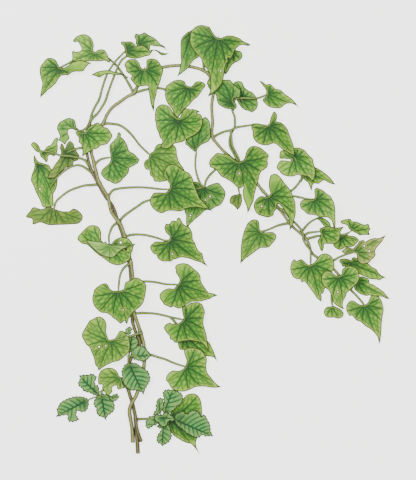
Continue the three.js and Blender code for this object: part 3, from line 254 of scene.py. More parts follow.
@dataclass
class VeinNet:
    """Veins of one blade: main ones from the junction, and side veins that grow off them.

    Args:
        ring: Edge of the blade in mm, anticlockwise.
        root: Where the main veins meet.
        tip: Where the midrib runs to.
        kind: How the veins run.
        gap: Distance between side veins.
        fan: Angle of each pair of main veins from the midrib, and how much further out it
            starts, in degrees.
        leans: Shares of that lean that are tried until enough of the vein lies on the blade.
        step: Distance between the places along a vein.
        clear: How near a side vein comes to a main one before it ends.
        off_edge: How near a vein comes to the edge.
        slant: Angle of a side vein from its main vein.
        feather_slants: The same on a leaf with one midrib, at its base and at its tip.
        curl: Degrees that a side vein turns at each step.
        longest: Most steps of a side vein.
        shortest: Steps that a vein must be longer than.
        farthest: How far out the edge is looked for.
        stops_at: Share of the way to the edge after which a main vein stops.
        enough: Share of a main vein that must lie on the blade.
    """

    ring: np.ndarray
    root: np.ndarray
    tip: np.ndarray
    kind: Kind
    gap: float
    fan: tuple[tuple[float, float], ...] = ((26, 10), (56, 6), (92, -10), (128, -24), (158, -36))
    leans: tuple[float, ...] = (1, 0.4, -0.3, -1, -1.8)
    step: float = 1.6
    clear: float = 1.5
    off_edge: float = 0.8
    slant: float = 48.0
    feather_slants: tuple[float, float] = (82.0, 36.0)
    curl: float = 1.6
    longest: int = 22
    shortest: int = 3
    farthest: float = 400.0
    stops_at: float = 0.97
    enough: float = 0.8

    def grow(self) -> tuple[list[np.ndarray], list[np.ndarray]]:
        """Makes the veins.

        Returns:
            The main veins and the side veins, each a row of places.
        """
        axis = (self.tip - self.root) / np.linalg.norm(self.tip - self.root)
        main = [self.bow(axis, 0.0)]
        if self.kind is Kind.HEART:
            for angle, lean in self.fan:
                main.append(self.bow(turned(axis, angle), lean))
                main.append(self.bow(turned(axis, -angle), -lean))
        main = [vein for vein in main if len(vein) > self.shortest]
        side: list[np.ndarray] = []
        stops = np.vstack(main)
        for number, vein in enumerate(main):
            side += self.branches(vein, stops, number)
        return main, side

    def bow(self, direction: np.ndarray, lean: float) -> np.ndarray:
        """Draws one main vein out to the edge, leaning outwards first.

        Args:
            direction: Where the vein ends, seen from the junction.
            lean: Degrees that it starts further out.

        Returns:
            Places along the vein that lie on the blade.
        """
        far = np.arange(self.step, self.farthest, self.step)[:, None] * direction + self.root
        on = within(far, self.ring)
        first = int(np.argmax(on)) if on.any() else 0
        leaves = np.nonzero(~on[first:])[0]
        reach = self.step * (first + (leaves[0] if len(leaves) else 1))
        end = self.root + direction * reach * self.stops_at
        t = np.linspace(0, 1, max(3, int(reach / self.step)))[:, None]
        tries = []
        for share in self.leans:
            bend = self.root + turned(direction, lean * share) * reach * 0.5
            tries.append(self.kept((1 - t) ** 2 * self.root + 2 * t * (1 - t) * bend + t * t * end))
            if len(tries[-1]) > self.enough * len(t):
                break
        return max(tries, key=len)

    def kept(self, places: np.ndarray) -> np.ndarray:
        """Keeps the longest run of places that lies on the blade and off its edge.

        Args:
            places: Places along a vein.

        Returns:
            The places of that run, which may be none.
        """
        on = within(places, self.ring)
        on &= away(places, *straights([self.ring], closed=True)) > self.off_edge
        bounds = np.flatnonzero(np.diff(np.r_[False, on, False]))
        runs = bounds.reshape(-1, 2)
        first, last = max(runs, key=lambda run: run[1] - run[0], default=(0, 0))
        return places[first:last]

    def branches(self, vein: np.ndarray, stops: np.ndarray, number: int) -> list[np.ndarray]:
        """Grows side veins off a main vein, by turns to its left and right.

        Args:
            vein: Places along the main vein.
            stops: Places of all main veins, where a side vein ends.
            number: Place of the main vein in the fan, which shifts where its branches start.

        Returns:
            Side veins that are long enough to show.
        """
        found = []
        every = max(2, round(self.gap / self.step / 2))
        first, last = self.feather_slants
        for turn, at in enumerate(range(every + number % 2, len(vein) - 2, every)):
            feather = first - (first - last) * at / len(vein)
            slant = self.slant if self.kind is Kind.HEART else feather
            way = vein[at + 1] - vein[at - 1]
            way = turned(way / np.linalg.norm(way), slant if turn % 2 else -slant)
            place = vein[at]
            trail = [place]
            for count in range(self.longest):
                place = place + way * self.step
                way = turned(way, -self.curl if turn % 2 else self.curl)
                if count > 1 and np.linalg.norm(stops - place, axis=1).min() < self.clear:
                    break
                trail.append(place)
            trail = self.kept(np.array(trail))
            if len(trail) > self.shortest:
                found.append(trail)
        return found


@dataclass
class BladeSheet:
    """Thin veined sheet of one blade, built from its given edge.

    Args:
        blade: The blade.
        kind: How its veins run, and whether it has teeth.
        junction: Where the stalk joins it, in mm.
        seed: Start of its noise.
        thickness: Thickness away from the rim.
        twin: Distance below which two corners of the outline count as one.
        edge_step: Distance between the corners of a smooth edge, and of a toothed one.
        tooth_pitch: Distance between teeth.
        tooth_depth: Depth of a tooth.
        tooth_rest: Share of the depth that lies outside the outline.
        plain_tip: Length beside the tip over which the teeth grow to their depth.
        wave: Height and length of the slight waves of a smooth edge.
        vein_gaps: Distance between side veins on a heart-shaped leaf, and on the others.
        tip_curve: How late the blade falls or rises towards its tip.
        tip_reach: Share of the midrib's length after which it stops.
        lobe_reach: The same behind the junction, for the lobes.
        droop_width: Distance from the midrib at which the droop is as stated.
        droop_limit: Most that a side hangs, in droops.
        hole_shape: Corners of an insect hole, share of the stated radius that it has, share that
            the radius varies by, and how often it does around the hole.
        corners: About how many corners fill the blade.
        filled: Share of its box that a blade fills.
        spacings: Least and most distance between the corners.
        rooms: Spacings that the corners keep from the edge, and from the veins.
        merged: Distance below which corners are merged.
        vein_thins: Most that a main vein thins by on its way out.
        vein_groove: Depth and width of the groove along a main vein.
        panel_rise: Height that a panel stands up between the veins, and how fast it rises.
        swell: Height and length of the broad swells.
        pucker: Height and length of the puckers along the edge, and how far in they reach.
        pucker_seed: What is added to the seed for the puckers.
        rim: Share of the thickness at the very edge, and over what width it grows to the full.
    """

    blade: Blade
    kind: Kind
    junction: np.ndarray
    seed: float
    thickness: float = 0.42
    twin: float = 0.2
    edge_step: tuple[float, float] = (1.1, 0.7)
    tooth_pitch: float = 5.4
    tooth_depth: float = 1.7
    tooth_rest: float = 0.45
    plain_tip: float = 6.0
    wave: tuple[float, float] = (0.22, 3.5)
    vein_gaps: tuple[float, float] = (10.0, 5.0)
    tip_curve: float = 1.4
    tip_reach: float = 1.1
    lobe_reach: float = 0.6
    droop_width: float = 25.0
    droop_limit: float = 1.6
    hole_shape: tuple[int, float, float, int] = (10, 0.85, 0.2, 3)
    corners: int = 1300
    filled: float = 0.65
    spacings: tuple[float, float] = (1.15, 2.0)
    rooms: tuple[float, float] = (0.45, 0.42)
    merged: float = 1e-3
    vein_thins: float = 1.2
    vein_groove: tuple[float, float] = (0.20, 1.1)
    panel_rise: tuple[float, float] = (0.17, 1.1)
    swell: tuple[float, float] = (0.13, 9.0)
    pucker: tuple[float, float, float] = (0.28, 6.5, 4.5)
    pucker_seed: float = 7.0
    rim: tuple[float, float] = (0.35, 2.0)

    def ring(self) -> np.ndarray:
        """Draws the edge with its teeth or its slight waves.

        Returns:
            Corners of the edge in mm, anticlockwise from the tip.
        """
        words = self.blade.outline.split()
        star = next(i for i, word in enumerate(words) if word.startswith("*"))
        words = words[star:] + words[: star + 1]
        places = to_mm(np.array(read_words(" ".join(words))))
        apart = np.linalg.norm(np.diff(places, axis=0), axis=1) > self.twin
        step = self.edge_step[self.kind is Kind.TOOTHED]
        ring = smooth(places[np.r_[True, apart]], step)[:-1]
        after = np.roll(ring, -1, axis=0)
        if (ring[:, 0] * after[:, 1] - after[:, 0] * ring[:, 1]).sum() < 0:
            ring = np.roll(ring[::-1], 1, axis=0)
        along = np.roll(ring, -1, axis=0) - np.roll(ring, 1, axis=0)
        out = np.column_stack([along[:, 1], -along[:, 0]])
        out /= np.linalg.norm(out, axis=1)[:, None] + TINY
        if self.kind is Kind.TOOTHED:
            run = np.arange(len(ring)) * step
            from_tip = np.minimum(run, run[-1] - run)
            shift = self.tooth_depth * (self.tooth_rest - from_tip / self.tooth_pitch % 1.0)
            shift *= np.clip(from_tip / self.plain_tip, 0, 1)
        else:
            depth, length = self.wave
            shift = depth * ripple(ring, length, self.seed)
            shift[[0, 1, -1]] = 0
        return ring + out * shift[:, None]

    def height(self, places: np.ndarray, tip: np.ndarray) -> np.ndarray:
        """Gives the height of the blade's middle.

        Args:
            places: Flat places on the blade.
            tip: Tip of the blade.

        Returns:
            Height at each place in mm.
        """
        at_base, at_tip, at_lobes = self.blade.heights
        axis = tip - self.junction
        length = np.linalg.norm(axis)
        offset = places - self.junction
        along = offset @ axis / length**2
        across = np.abs(offset @ np.array([-axis[1], axis[0]])) / length
        share = np.clip(along, 0, self.tip_reach) ** self.tip_curve
        ahead = at_base + (at_tip - at_base) * share
        behind = at_base + (at_lobes - at_base) * np.clip(-along / self.lobe_reach, 0, 1)
        droop = self.blade.droop
        hang = np.minimum(droop * (across / self.droop_width) ** 2, self.droop_limit * droop)
        return np.maximum(np.where(along >= 0, ahead, behind) - hang, LOWEST_BLADE)

    def mesh(self) -> dict[str, np.ndarray]:
        """Builds the sheet.

        Returns:
            Vertices in mm, faces, which faces are the thin rim, and a value of each measure
            for each vertex.
        """
        ring = self.ring()
        tip = ring[0]
        fan, end = self.junction, tip
        if self.blade.fan:
            fan, end = read_place(self.blade.fan), self.junction
        gap = self.vein_gaps[self.kind is not Kind.HEART]
        main, side = VeinNet(ring, fan, end, self.kind, gap).grow()
        loops = [ring, *(self.hole(text) for text in self.blade.holes)]
        edge = straights(loops, closed=True)
        veins = straights([*main, *side], closed=False)
        grid = self.grid(ring, edge, veins)
        flat, faces = self.triangles(loops, [*main, *side], grid)
        reach = np.linalg.norm(flat - fan, axis=1) / np.linalg.norm(end - fan)
        from_main = away(flat, *straights(main, closed=False))
        measures = {
            "main": from_main * (1 + np.clip(reach, 0, self.vein_thins)),
            "side": away(flat, *veins),
            "rim": away(flat, *edge),
            "reach": reach,
        }
        return self.thicken(flat, faces, self.height(flat, tip), measures)

    def hole(self, text: str) -> np.ndarray:
        """Makes an insect hole.

        Args:
            text: Middle and radius in squares.

        Returns:
            Corners of its ragged ring in mm.
        """
        x, y, radius = (float(value) for value in text.split(","))
        corners, share, uneven, waves = self.hole_shape
        turn = np.linspace(0, math.tau, corners, endpoint=False)
        size = share * radius * SQUARE * (1 + uneven * np.sin(waves * turn + x))
        around = np.column_stack([np.cos(turn), np.sin(turn)])
        return to_mm(np.array([x, y])) + around * size[:, None]

    def grid(
        self,
        ring: np.ndarray,
        edge: tuple[np.ndarray, np.ndarray],
        veins: tuple[np.ndarray, np.ndarray],
    ) -> np.ndarray:
        """Fills the blade with places in staggered rows.

        Args:
            ring: Edge of the blade.
            edge: Straight pieces of the edge and of the holes.
            veins: Straight pieces of the veins.

        Returns:
            Flat places that lie on the blade and off its edge and its veins.
        """
        low, high = ring.min(axis=0), ring.max(axis=0)
        area = np.prod(high - low) * self.filled
        spacing = float(np.clip(math.sqrt(area / self.corners), *self.spacings))
        xs = np.arange(low[0], high[0], spacing)
        ys = np.arange(low[1], high[1], spacing * ROW)
        x, y = np.meshgrid(xs, ys)
        x = x + (np.arange(len(ys)) % 2)[:, None] * spacing / 2
        places = np.column_stack([x.ravel(), y.ravel()])
        places = places[within(places, ring)]
        for pieces, room in zip((edge, veins), self.rooms):
            places = places[away(places, *pieces) > spacing * room]
        return places

    def triangles(
        self, loops: list[np.ndarray], lines: list[np.ndarray], grid: np.ndarray
    ) -> tuple[np.ndarray, np.ndarray]:
        """Spans triangles between the edge, the veins and the places on the blade.

        Args:
            loops: Edge of the blade, and then its holes.
            lines: Veins.
            grid: Places between them.

        Returns:
            Flat places of the vertices, and three vertices for each triangle.
        """
        points, edges = [], []
        for line, closed in [(loop, 1) for loop in loops] + [(line, 0) for line in lines]:
            count, first = len(line), len(points)
            points += [Vector(place) for place in line]
            edges += [(first + i, first + (i + 1) % count) for i in range(count - 1 + closed)]
        points += [Vector(place) for place in grid]
        made = geometry.delaunay_2d_cdt(points, edges, [], 0, self.merged, False)
        flat = np.array([vertex[:] for vertex in made[0]])
        faces = np.array([face for face in made[2] if len(face) == 3])
        centres = flat[faces].mean(axis=1)
        keep = within(centres, loops[0])
        for loop in loops[1:]:
            keep &= ~within(centres, loop)
        used, faces = np.unique(faces[keep], return_inverse=True)
        return flat[used], faces.reshape(-1, 3)

    def thicken(
        self,
        flat: np.ndarray,
        faces: np.ndarray,
        height: np.ndarray,
        measures: dict[str, np.ndarray],
    ) -> dict[str, np.ndarray]:
        """Adds the relief of veins and puckers, then a second skin and the rim between.

        Args:
            flat: Places of the sheet's vertices in mm.
            faces: Triangles, seen from above.
            height: Height of the sheet's middle at each vertex.
            measures: Values that the finish reads, by name.

        Returns:
            The closed sheet.
        """
        depth, width = self.vein_groove
        relief = -depth * np.exp(-((measures["main"] / width) ** 2))
        rise, width = self.panel_rise
        relief += rise * (1 - np.exp(-measures["side"] / width))
        rise, length = self.swell
        relief += rise * ripple(flat, length, self.seed)
        rise, length, inwards = self.pucker
        puckers = ripple(flat, length, self.seed + self.pucker_seed)
        relief += rise * puckers * np.exp(-measures["rim"] / inwards)
        crest = np.column_stack([flat, np.maximum(height + relief, LOWEST_BLADE)])
        first, second, third = (crest[faces[:, corner]] for corner in range(3))
        wound = np.cross(second - first, third - first)
        flip = wound[:, 2] < 0
        faces[flip] = faces[flip][:, ::-1]
        wound[flip] *= -1
        normals = np.zeros_like(crest)
        for corner in range(3):
            np.add.at(normals, faces[:, corner], wound)
        normals /= np.linalg.norm(normals, axis=1)[:, None] + TINY
        thin, width = self.rim
        taper = np.clip(thin + measures["rim"] / width, thin, 1.0)[:, None]
        half = normals * taper * self.thickness / 2
        count = len(flat)
        directed = np.vstack([faces[:, [0, 1]], faces[:, [1, 2]], faces[:, [2, 0]]])
        codes = directed[:, 0] * count + directed[:, 1]
        border = directed[~np.isin(codes, directed[:, 1] * count + directed[:, 0])]
        here, there = border[:, 0], border[:, 1]
        rims = np.vstack([
            np.column_stack([there, here, here + count]),
            np.column_stack([there, here + count, there + count]),
        ])
        sheet = {name: np.tile(values, 2) for name, values in measures.items()}
        sheet["under"] = np.repeat([0.0, 1.0], count)
        sheet["vertices"] = np.vstack([crest + half, crest - half])
        sheet["faces"] = np.vstack([faces, faces[:, ::-1] + count, rims])
        sheet["thin"] = np.arange(len(sheet["faces"])) >= 2 * len(faces)
        return sheet


@dataclass
class Rod:
    """Ridged stem or stalk that follows a route.

    Args:
        route: Places in mm.
        radius: Mean radius in mm.
        knots: Distances along it where it swells, in mm.
        swell: Share that it swells by at a knot.
        taper: Share of the radius that is left at the far end.
        width: How much wider it is than it is high, at its start and at its end.
        point: Length over which its far end draws in, in mm; none if it is 0.
        cut: Whether its ends are cut and show their pith.
        step: Distance between its rings of corners.
        sides: Corners of a ring.
        ridges: Ridges around it.
        ridge_height: Share of the radius by which the grooves lie below the ridges.
        twist_pitch: Length over which its fibres go once around, in mm.
        knot_length: How far a knot's swelling reaches along it, in radii.
        waves: Share and length in mm of the slow waves of its thickness.
        drawn_in: Share of the radius that the point starts from, and the share it adds.
    """

    route: np.ndarray
    radius: float
    knots: tuple[float, ...] = ()
    swell: float = 0.25
    taper: float = 1.0
    width: tuple[float, float] = (1.0, 1.0)
    point: float = 0.0
    cut: bool = False
    step: float = 1.8
    sides: int = 14
    ridges: int = 5
    ridge_height: float = 0.07
    twist_pitch: float = 7.0
    knot_length: float = 1.6
    waves: tuple[tuple[float, float], ...] = ((0.03, 5.3), (0.02, 1.9))
    drawn_in: tuple[float, float] = (0.68, 0.32)

    def mesh(self) -> dict[str, np.ndarray]:
        """Builds the rod.

        Returns:
            Vertices in mm, faces, which faces close its ends, and a value of each measure for
            each vertex.
        """
        line = smooth(self.route, self.step)
        run = travelled(line)
        ahead = np.gradient(line, axis=0)
        ahead /= np.linalg.norm(ahead, axis=1)[:, None]
        left = np.cross(np.array([0.0, 0.0, 1.0]), ahead)
        left /= np.linalg.norm(left, axis=1)[:, None] + TINY
        up = np.cross(ahead, left)
        size = self.radius * (1 - (1 - self.taper) * run / run[-1])
        for knot in self.knots:
            from_knot = (run - knot) / (self.knot_length * self.radius)
            size = size * (1 + self.swell * np.exp(-(from_knot**2)))
        turn = np.arange(self.sides) / self.sides * math.tau
        crest = 0.5 + 0.5 * np.cos(self.ridges * turn)
        uneven = np.ones_like(run)
        for share, length in self.waves:
            uneven += share * np.sin(run / length)
        reach = size[:, None] * uneven[:, None] * (1 - self.ridge_height * (1 - crest))
        width = np.interp(run, [0, run[-1]], self.width)
        if self.point:
            least, more = self.drawn_in
            drawn = least + more * np.clip((run[-1] - run) / self.point, 0, 1)
            reach, width = reach * drawn[:, None], width * drawn
        across = width[:, None] * np.sin(turn)
        ring = up[:, None] * np.cos(turn)[None, :, None] + left[:, None] * across[..., None]
        skin = (line[:, None] + ring * reach[..., None]).reshape(-1, 3)
        skin[:, 2] = np.maximum(skin[:, 2], OFF_FLOOR)
        rows = len(line)
        faces = self.faces(rows)
        # How far each point faces up; the finish reads it to paint a highlight along the top and
        # shade on the sides.
        top = 0.5 + 0.5 * np.cos(turn)
        swirl = run[:, None] / self.twist_pitch + turn / math.tau
        return {
            "vertices": np.vstack([skin, line[:1], line[-1:]]),
            "faces": faces,
            "thin": np.arange(len(faces)) >= len(faces) - 2 * self.sides,
            "crest": np.concatenate([np.tile(crest, rows), [0.5, 0.5]]),
            "top": np.concatenate([np.tile(top, rows), [0.5, 0.5]]),
            "swirl": np.concatenate([swirl.ravel(), [0, 0]]),
            "core": np.concatenate([np.zeros(len(skin)), [self.cut, self.cut]]),
        }

    def faces(self, rows: int) -> np.ndarray:
        """Joins the rings of corners and closes both ends.

        Args:
            rows: Number of rings.

        Returns:
            Three vertices for each triangle; those of the ends come last.
        """
        sides = self.sides
        first = (np.arange(rows - 1)[:, None] * sides + np.arange(sides)).ravel()
        beside = (np.arange(rows - 1)[:, None] * sides + (np.arange(sides) + 1) % sides).ravel()
        quads = [
            np.column_stack([first, first + sides, beside]),
            np.column_stack([beside, first + sides, beside + sides]),
        ]
        caps = []
        for row, flip in ((0, 1), (rows - 1, -1)):
            hub = rows * sides + (flip < 0)
            around = row * sides + np.arange(sides)
            triangles = np.column_stack([np.full(sides, hub), around, np.roll(around, -1)])
            caps.append(triangles[:, ::flip])
        return np.vstack([*quads, *caps])


# Values of the vertices that the finishes read
MEASURES = ("main", "side", "rim", "reach", "under", "crest", "top", "swirl", "core")


def piece(
    name: str, parts: list[tuple[dict[str, np.ndarray], bpy.types.Material]]
) -> bpy.types.Object:
    """Joins parts into one object.

    Args:
        name: Name of the object.
        parts: Each part's mesh with its material.

    Returns:
        The object, linked to the scene, in metres.
    """
    vertices = np.vstack([part["vertices"] for part, _ in parts]) * MM
    shifts = np.cumsum([0, *[len(part["vertices"]) for part, _ in parts]])
    faces = np.vstack([part["faces"] + shift for (part, _), shift in zip(parts, shifts)])
    mesh = bpy.data.meshes.new(name)
    mesh.vertices.add(len(vertices))
    mesh.vertices.foreach_set("co", vertices.astype(np.float32).ravel())
    mesh.loops.add(faces.size)
    mesh.loops.foreach_set("vertex_index", faces.astype(np.int32).ravel())
    mesh.polygons.add(len(faces))
    mesh.polygons.foreach_set("loop_start", np.arange(0, faces.size, 3, dtype=np.int32))
    smooth_faces = ~np.concatenate([part["thin"] for part, _ in parts])
    mesh.polygons.foreach_set("use_smooth", smooth_faces)
    finishes = list(dict.fromkeys(material for _, material in parts))
    index = np.concatenate([np.full(len(part["faces"]), finishes.index(m)) for part, m in parts])
    mesh.polygons.foreach_set("material_index", index.astype(np.int32))
    for material in finishes:
        mesh.materials.append(material)
    for measure in MEASURES:
        if any(measure in part for part, _ in parts):
            values = [part.get(measure, np.zeros(len(part["vertices"]))) for part, _ in parts]
            layer = mesh.attributes.new(measure, "FLOAT", "POINT")
            layer.data.foreach_set("value", np.concatenate(values).astype(np.float32))
    mesh.update(calc_edges=True)
    mesh.validate()
    made = bpy.data.objects.new(name, mesh)
    bpy.context.scene.collection.objects.link(made)
    LOG.info("%s: %d vertices, %d faces", name, len(vertices), len(faces))
    return made


def linear(colour: str) -> tuple[float, float, float, float]:
    """Turns an sRGB colour to linear.

    Args:
        colour: The colour as "#rrggbb".

    Returns:
        Its red, green and blue, and full alpha.
    """
    parts = [int(colour[i : i + 2], 16) / 255 for i in (1, 3, 5)]
    made = [c / 12.92 if c <= 0.04045 else ((c + 0.055) / 1.055) ** 2.4 for c in parts]
    return made[0], made[1], made[2], 1.0


def add(tree: bpy.types.NodeTree, kind: str, links: dict, **settings: object) -> bpy.types.Node:
    """Adds a node.

    Args:
        tree: Node tree of the material.
        kind: Type of the node.
        links: For each input, by name or number, a socket to link or a value to set.
        **settings: Properties of the node.

    Returns:
        The node.
    """
    node = tree.nodes.new(kind)
    for key, value in settings.items():
        setattr(node, key, value)
    for key, source in links.items():
        if isinstance(source, bpy.types.NodeSocket):
            tree.links.new(source, node.inputs[key])
        else:
            node.inputs[key].default_value = source
    return node


@dataclass(frozen=True)
class Fade:
    """Soft turn of one measure or pattern into an amount.

    Args:
        source: Name of the measure or pattern.
        low: Value of the source where the amount is `at_low`.
        high: Value of the source where the amount is `at_high`.
        at_low: Amount at the low value.
        at_high: Amount at the high value.
    """

    source: str
    low: float
    high: float
    at_low: float
    at_high: float


@dataclass(frozen=True)
class Wash:
    """One colour laid over those below it.

    Args:
        colour: The colour.
        amount: How much of it shows.
        limit: Amount that the first is multiplied by.
    """

    colour: str
    amount: Fade
    limit: Fade | None = None


@dataclass
class Coat:
    """Principled material whose colour is laid on in washes.

    Args:
        name: Name of the material.
        measures: Measures of the mesh that it reads.
        clouds: Soft noises by name, each with the size of its spots in mm and its detail.
    """

    name: str
    measures: tuple[str, ...]
    clouds: dict[str, tuple[float, float]]

    def __post_init__(self) -> None:
        """Makes the empty material and its sources, whose places are metres on the object."""
        self.material = bpy.data.materials.new(self.name)
        self.material.use_nodes = True
        self.tree = self.material.node_tree
        self.tree.nodes.clear()
        self.place = add(self.tree, "ShaderNodeTexCoord", {}).outputs["Object"]
        self.sources = {}
        for name in self.measures:
            node = add(self.tree, "ShaderNodeAttribute", {}, attribute_name=name)
            self.sources[name] = node.outputs["Fac"]
        for name, (size, detail) in self.clouds.items():
            links = {"Vector": self.place, "Scale": 1 / (size * MM), "Detail": detail}
            self.sources[name] = add(self.tree, "ShaderNodeTexNoise", links).outputs["Fac"]

    def weigh(self, *fades: Fade | None) -> bpy.types.NodeSocket:
        """Multiplies amounts.

        Args:
            *fades: Fades that give the amounts; an absent one is left out.

        Returns:
            Socket of the product.
        """
        total: bpy.types.NodeSocket | float = 1.0
        for fade in filter(None, fades):
            links = {
                "Value": self.sources[fade.source],
                "From Min": fade.low,
                "From Max": fade.high,
                "To Min": fade.at_low,
                "To Max": fade.at_high,
            }
            part = add(self.tree, "ShaderNodeMapRange", links, interpolation_type="SMOOTHSTEP")
            links = {0: total, 1: part.outputs["Result"]}
            total = add(self.tree, "ShaderNodeMath", links, operation="MULTIPLY").outputs[0]
        return total

    def finish(
        self,
        ground: str,
        washes: list[Wash],
        relief: tuple[Fade, Fade],
        depth: float,
        rough: Fade,
        ior: float,
    ) -> bpy.types.Material:
        """Lays the washes and joins colour, bump and roughness to the surface.

        Args:
            ground: Colour below all washes.
            washes: Washes from the first to the last.
            relief: Fades that multiply to the height of the fine relief, 0 to 1.
            depth: Depth of the relief in mm.
            rough: Roughness.
            ior: Index of refraction.

        Returns:
            The finished material.
        """
        colour = linear(ground)
        for wash in washes:
            links = {0: self.weigh(wash.amount, wash.limit), 6: colour, 7: linear(wash.colour)}
            colour = add(self.tree, "ShaderNodeMix", links, data_type="RGBA").outputs[2]
        links = {"Height": self.weigh(*relief), "Distance": depth * MM}
        bump = add(self.tree, "ShaderNodeBump", links).outputs["Normal"]
        links = {"Base Color": colour, "Roughness": self.weigh(rough), "IOR": ior, "Normal": bump}
        surface = add(self.tree, "ShaderNodeBsdfPrincipled", links).outputs["BSDF"]
        add(self.tree, "ShaderNodeOutputMaterial", {"Surface": surface})
        return self.material


@dataclass(frozen=True)
class LeafSkin:
    """Veined, quilted leaf skin, coloured from its veins out to its edge.

    Leaf cuticle: the living skin grew under a thin wax, so it is satin and not glossy, and
    the cell panels between the veins catch the light one by one. Their raised middles are
    painted lighter as a highlight, broad painted highlight patches lie between the veins,
    and the skin beside the main veins and towards the junction is painted darker as shade.

    Args:
        name: Name of the material.
        panel: Colour of the panels between the veins.
        panel_highlight: Colour of their raised middles, painted lighter as a highlight.
        shade: Colour of the painted shade beside the main veins and towards the junction, and of
            the mottle and the fine vein net.
        blotch: Colour of the soft patches.
        margin_and_highlight: Colour towards the edge, and of the painted highlight patches between
            the veins.
        vein: Colour of the veins.
        line: Colour of the dark line along the edge, which the drawing has in ink.
        under: Colour of the underside.
        fleck: How far dry spots show.
        panel_width: Distance from a vein at which a panel's middle starts, in mm.
        vein_strength: How far the side veins show.
        net_size: Distance between the net veins, in mm.
        dry_spot: Colour of the dry spots.
    """

    name: str
    panel: str
    panel_highlight: str
    shade: str
    blotch: str
    margin_and_highlight: str
    vein: str
    line: str
    under: str
    fleck: float = 0.0
    panel_width: float = 3.8
    vein_strength: float = 0.55
    net_size: float = 2.4
    dry_spot: str = "#6b5a2c"

    def make(self) -> bpy.types.Material:
        """Builds the material.

        Returns:
            The material.
        """
        # The light cloud places only the painted highlight patches.
        clouds = {"drift": (13, 3), "mottle": (3.2, 4), "speck": (2.1, 2), "light": (7.5, 2)}
        coat = Coat(self.name, ("main", "side", "rim", "reach", "under"), clouds)
        links = {"Vector": coat.place, "Scale": 1 / (self.net_size * MM)}
        net = add(coat.tree, "ShaderNodeTexVoronoi", links, feature="DISTANCE_TO_EDGE")
        coat.sources["net"] = net.outputs["Distance"]
        washes = [
            # Painted highlight: the raised panel middles, away from the veins, are laid paler.
            Wash(self.panel_highlight, Fade("side", 0.2 * self.panel_width, self.panel_width, 0, 0.9)),
            Wash(self.blotch, Fade("drift", 0.5, 0.68, 0, 0.5)),
            Wash(self.margin_and_highlight, Fade("rim", 1, 10, 0.85, 0), Fade("drift", 0.3, 0.6, 1, 0.45)),
            # Painted highlight: broad paler patches between the veins, in the margin colour.
            Wash(self.margin_and_highlight, Fade("light", 0.5, 0.62, 0, 0.55), Fade("side", 0.8, 2.4, 0, 1)),
            # Painted shade: darker beside the main veins and towards the junction.
            Wash(self.shade, Fade("main", 0.3, 3.4, 0.75, 0), Fade("reach", 0.1, 1, 1, 0.5)),
            Wash(self.shade, Fade("reach", 0.04, 0.5, 0.8, 0)),
            Wash(self.shade, Fade("mottle", 0.55, 0.75, 0, 0.3)),
            Wash(self.shade, Fade("net", 0.02, 0.12, 0.12, 0)),
            Wash(self.vein, Fade("side", 0.15, 0.95, self.vein_strength, 0)),
            Wash(self.vein, Fade("main", 0.3, 1, 0.95, 0)),
            Wash(self.margin_and_highlight, Fade("rim", 2.1, 3.4, 0.45, 0)),
            Wash(self.line, Fade("rim", 1.1, 2.1, 0.97, 0)),
            Wash(
                self.dry_spot,
                Fade("speck", 0.66, 0.74, 0, 1),
                Fade("drift", 0.45, 0.6, 0, self.fleck),
            ),
            Wash(self.under, Fade("under", 0.4, 0.6, 0, 0.7)),
        ]
        relief = Fade("net", 0, 0.25, 0.2, 1), Fade("side", 0.1, 1.2, 0.3, 1)
        rough = Fade("mottle", 0.3, 0.7, 0.46, 0.62)
        return coat.finish(self.panel, washes, relief, depth=0.12, rough=rough, ior=1.43)


LEAF_SKINS = {
    # Full-grown leaf: waxed as it spread; a clear mid green with a satin light.
    Tint.FRESH: LeafSkin(
        "leaf_cuticle_fresh", "#529a20", "#84c636", "#1c5a10", "#93bd30", "#abd046", "#123f09",
        "#2c3f10", "#92b86c",
    ),
    # Paler copy of the fresh skin, with the same satin light: painted light, for the leaves that
    # show palest.
    Tint.BRIGHT: LeafSkin(
        "leaf_cuticle_painted_light", "#62aa2a", "#96d747", "#286a18", "#a4cb40", "#bcdd58", "#16470b",
        "#324614", "#9cc078",
    ),
    # Leaf just opened: little green has formed below its wax, so it looks yellow-green.
    Tint.YOUNG: LeafSkin(
        "leaf_cuticle_young", "#6ca62c", "#97cc49", "#37721c", "#a1bc3c", "#add14f", "#255010",
        "#3a4a16", "#a4c480", 0.1,
    ),
    # Darker, cooler copy of the fresh skin: painted shade, for the leaves that lie behind others.
    Tint.DEEP: LeafSkin(
        "leaf_cuticle_painted_shade", "#468c29", "#6bb13a", "#1f5a13", "#78ad38", "#9bc84b", "#13430a",
        "#25390d", "#88b06c",
    ),
    # Old leaf: its skin dries in spots; olive with brown flecks.
    Tint.OLIVE: LeafSkin(
        "leaf_cuticle_olive", "#55861f", "#77a332", "#325d1b", "#7f8d2a", "#8fa83c", "#28480e",
        "#384014", "#9ba76c", 0.4,
    ),
    # Fading leaf: the green goes from the margin inwards and leaves yellow patches.
    Tint.YELLOWING: LeafSkin(
        "leaf_cuticle_yellowing", "#7cb034", "#accf55", "#357419", "#bfbf52", "#d2d272", "#284f10",
        "#4b4a1b", "#b3b87b", 0.5,
    ),
    # Compound leaf: finely panelled below a thin bloom; a cool dark green.
    Tint.BLUISH: LeafSkin(
        "leaf_cuticle_bluish", "#2e7a36", "#62ac56", "#0f4f1a", "#67a348", "#93c05c", "#0b3c16",
        "#1c3a16", "#7cae76", 0.0, 2.3, 0.85,
    ),
    # Part that is folded over: paler and flatter than the side that lies up elsewhere.
    Tint.FOLD: LeafSkin(
        "leaf_cuticle_fold", "#8cc045", "#a6d063", "#55902e", "#a2bd54", "#afcb68", "#447a24",
        "#364f1c", "#a6c874",
    ),
}


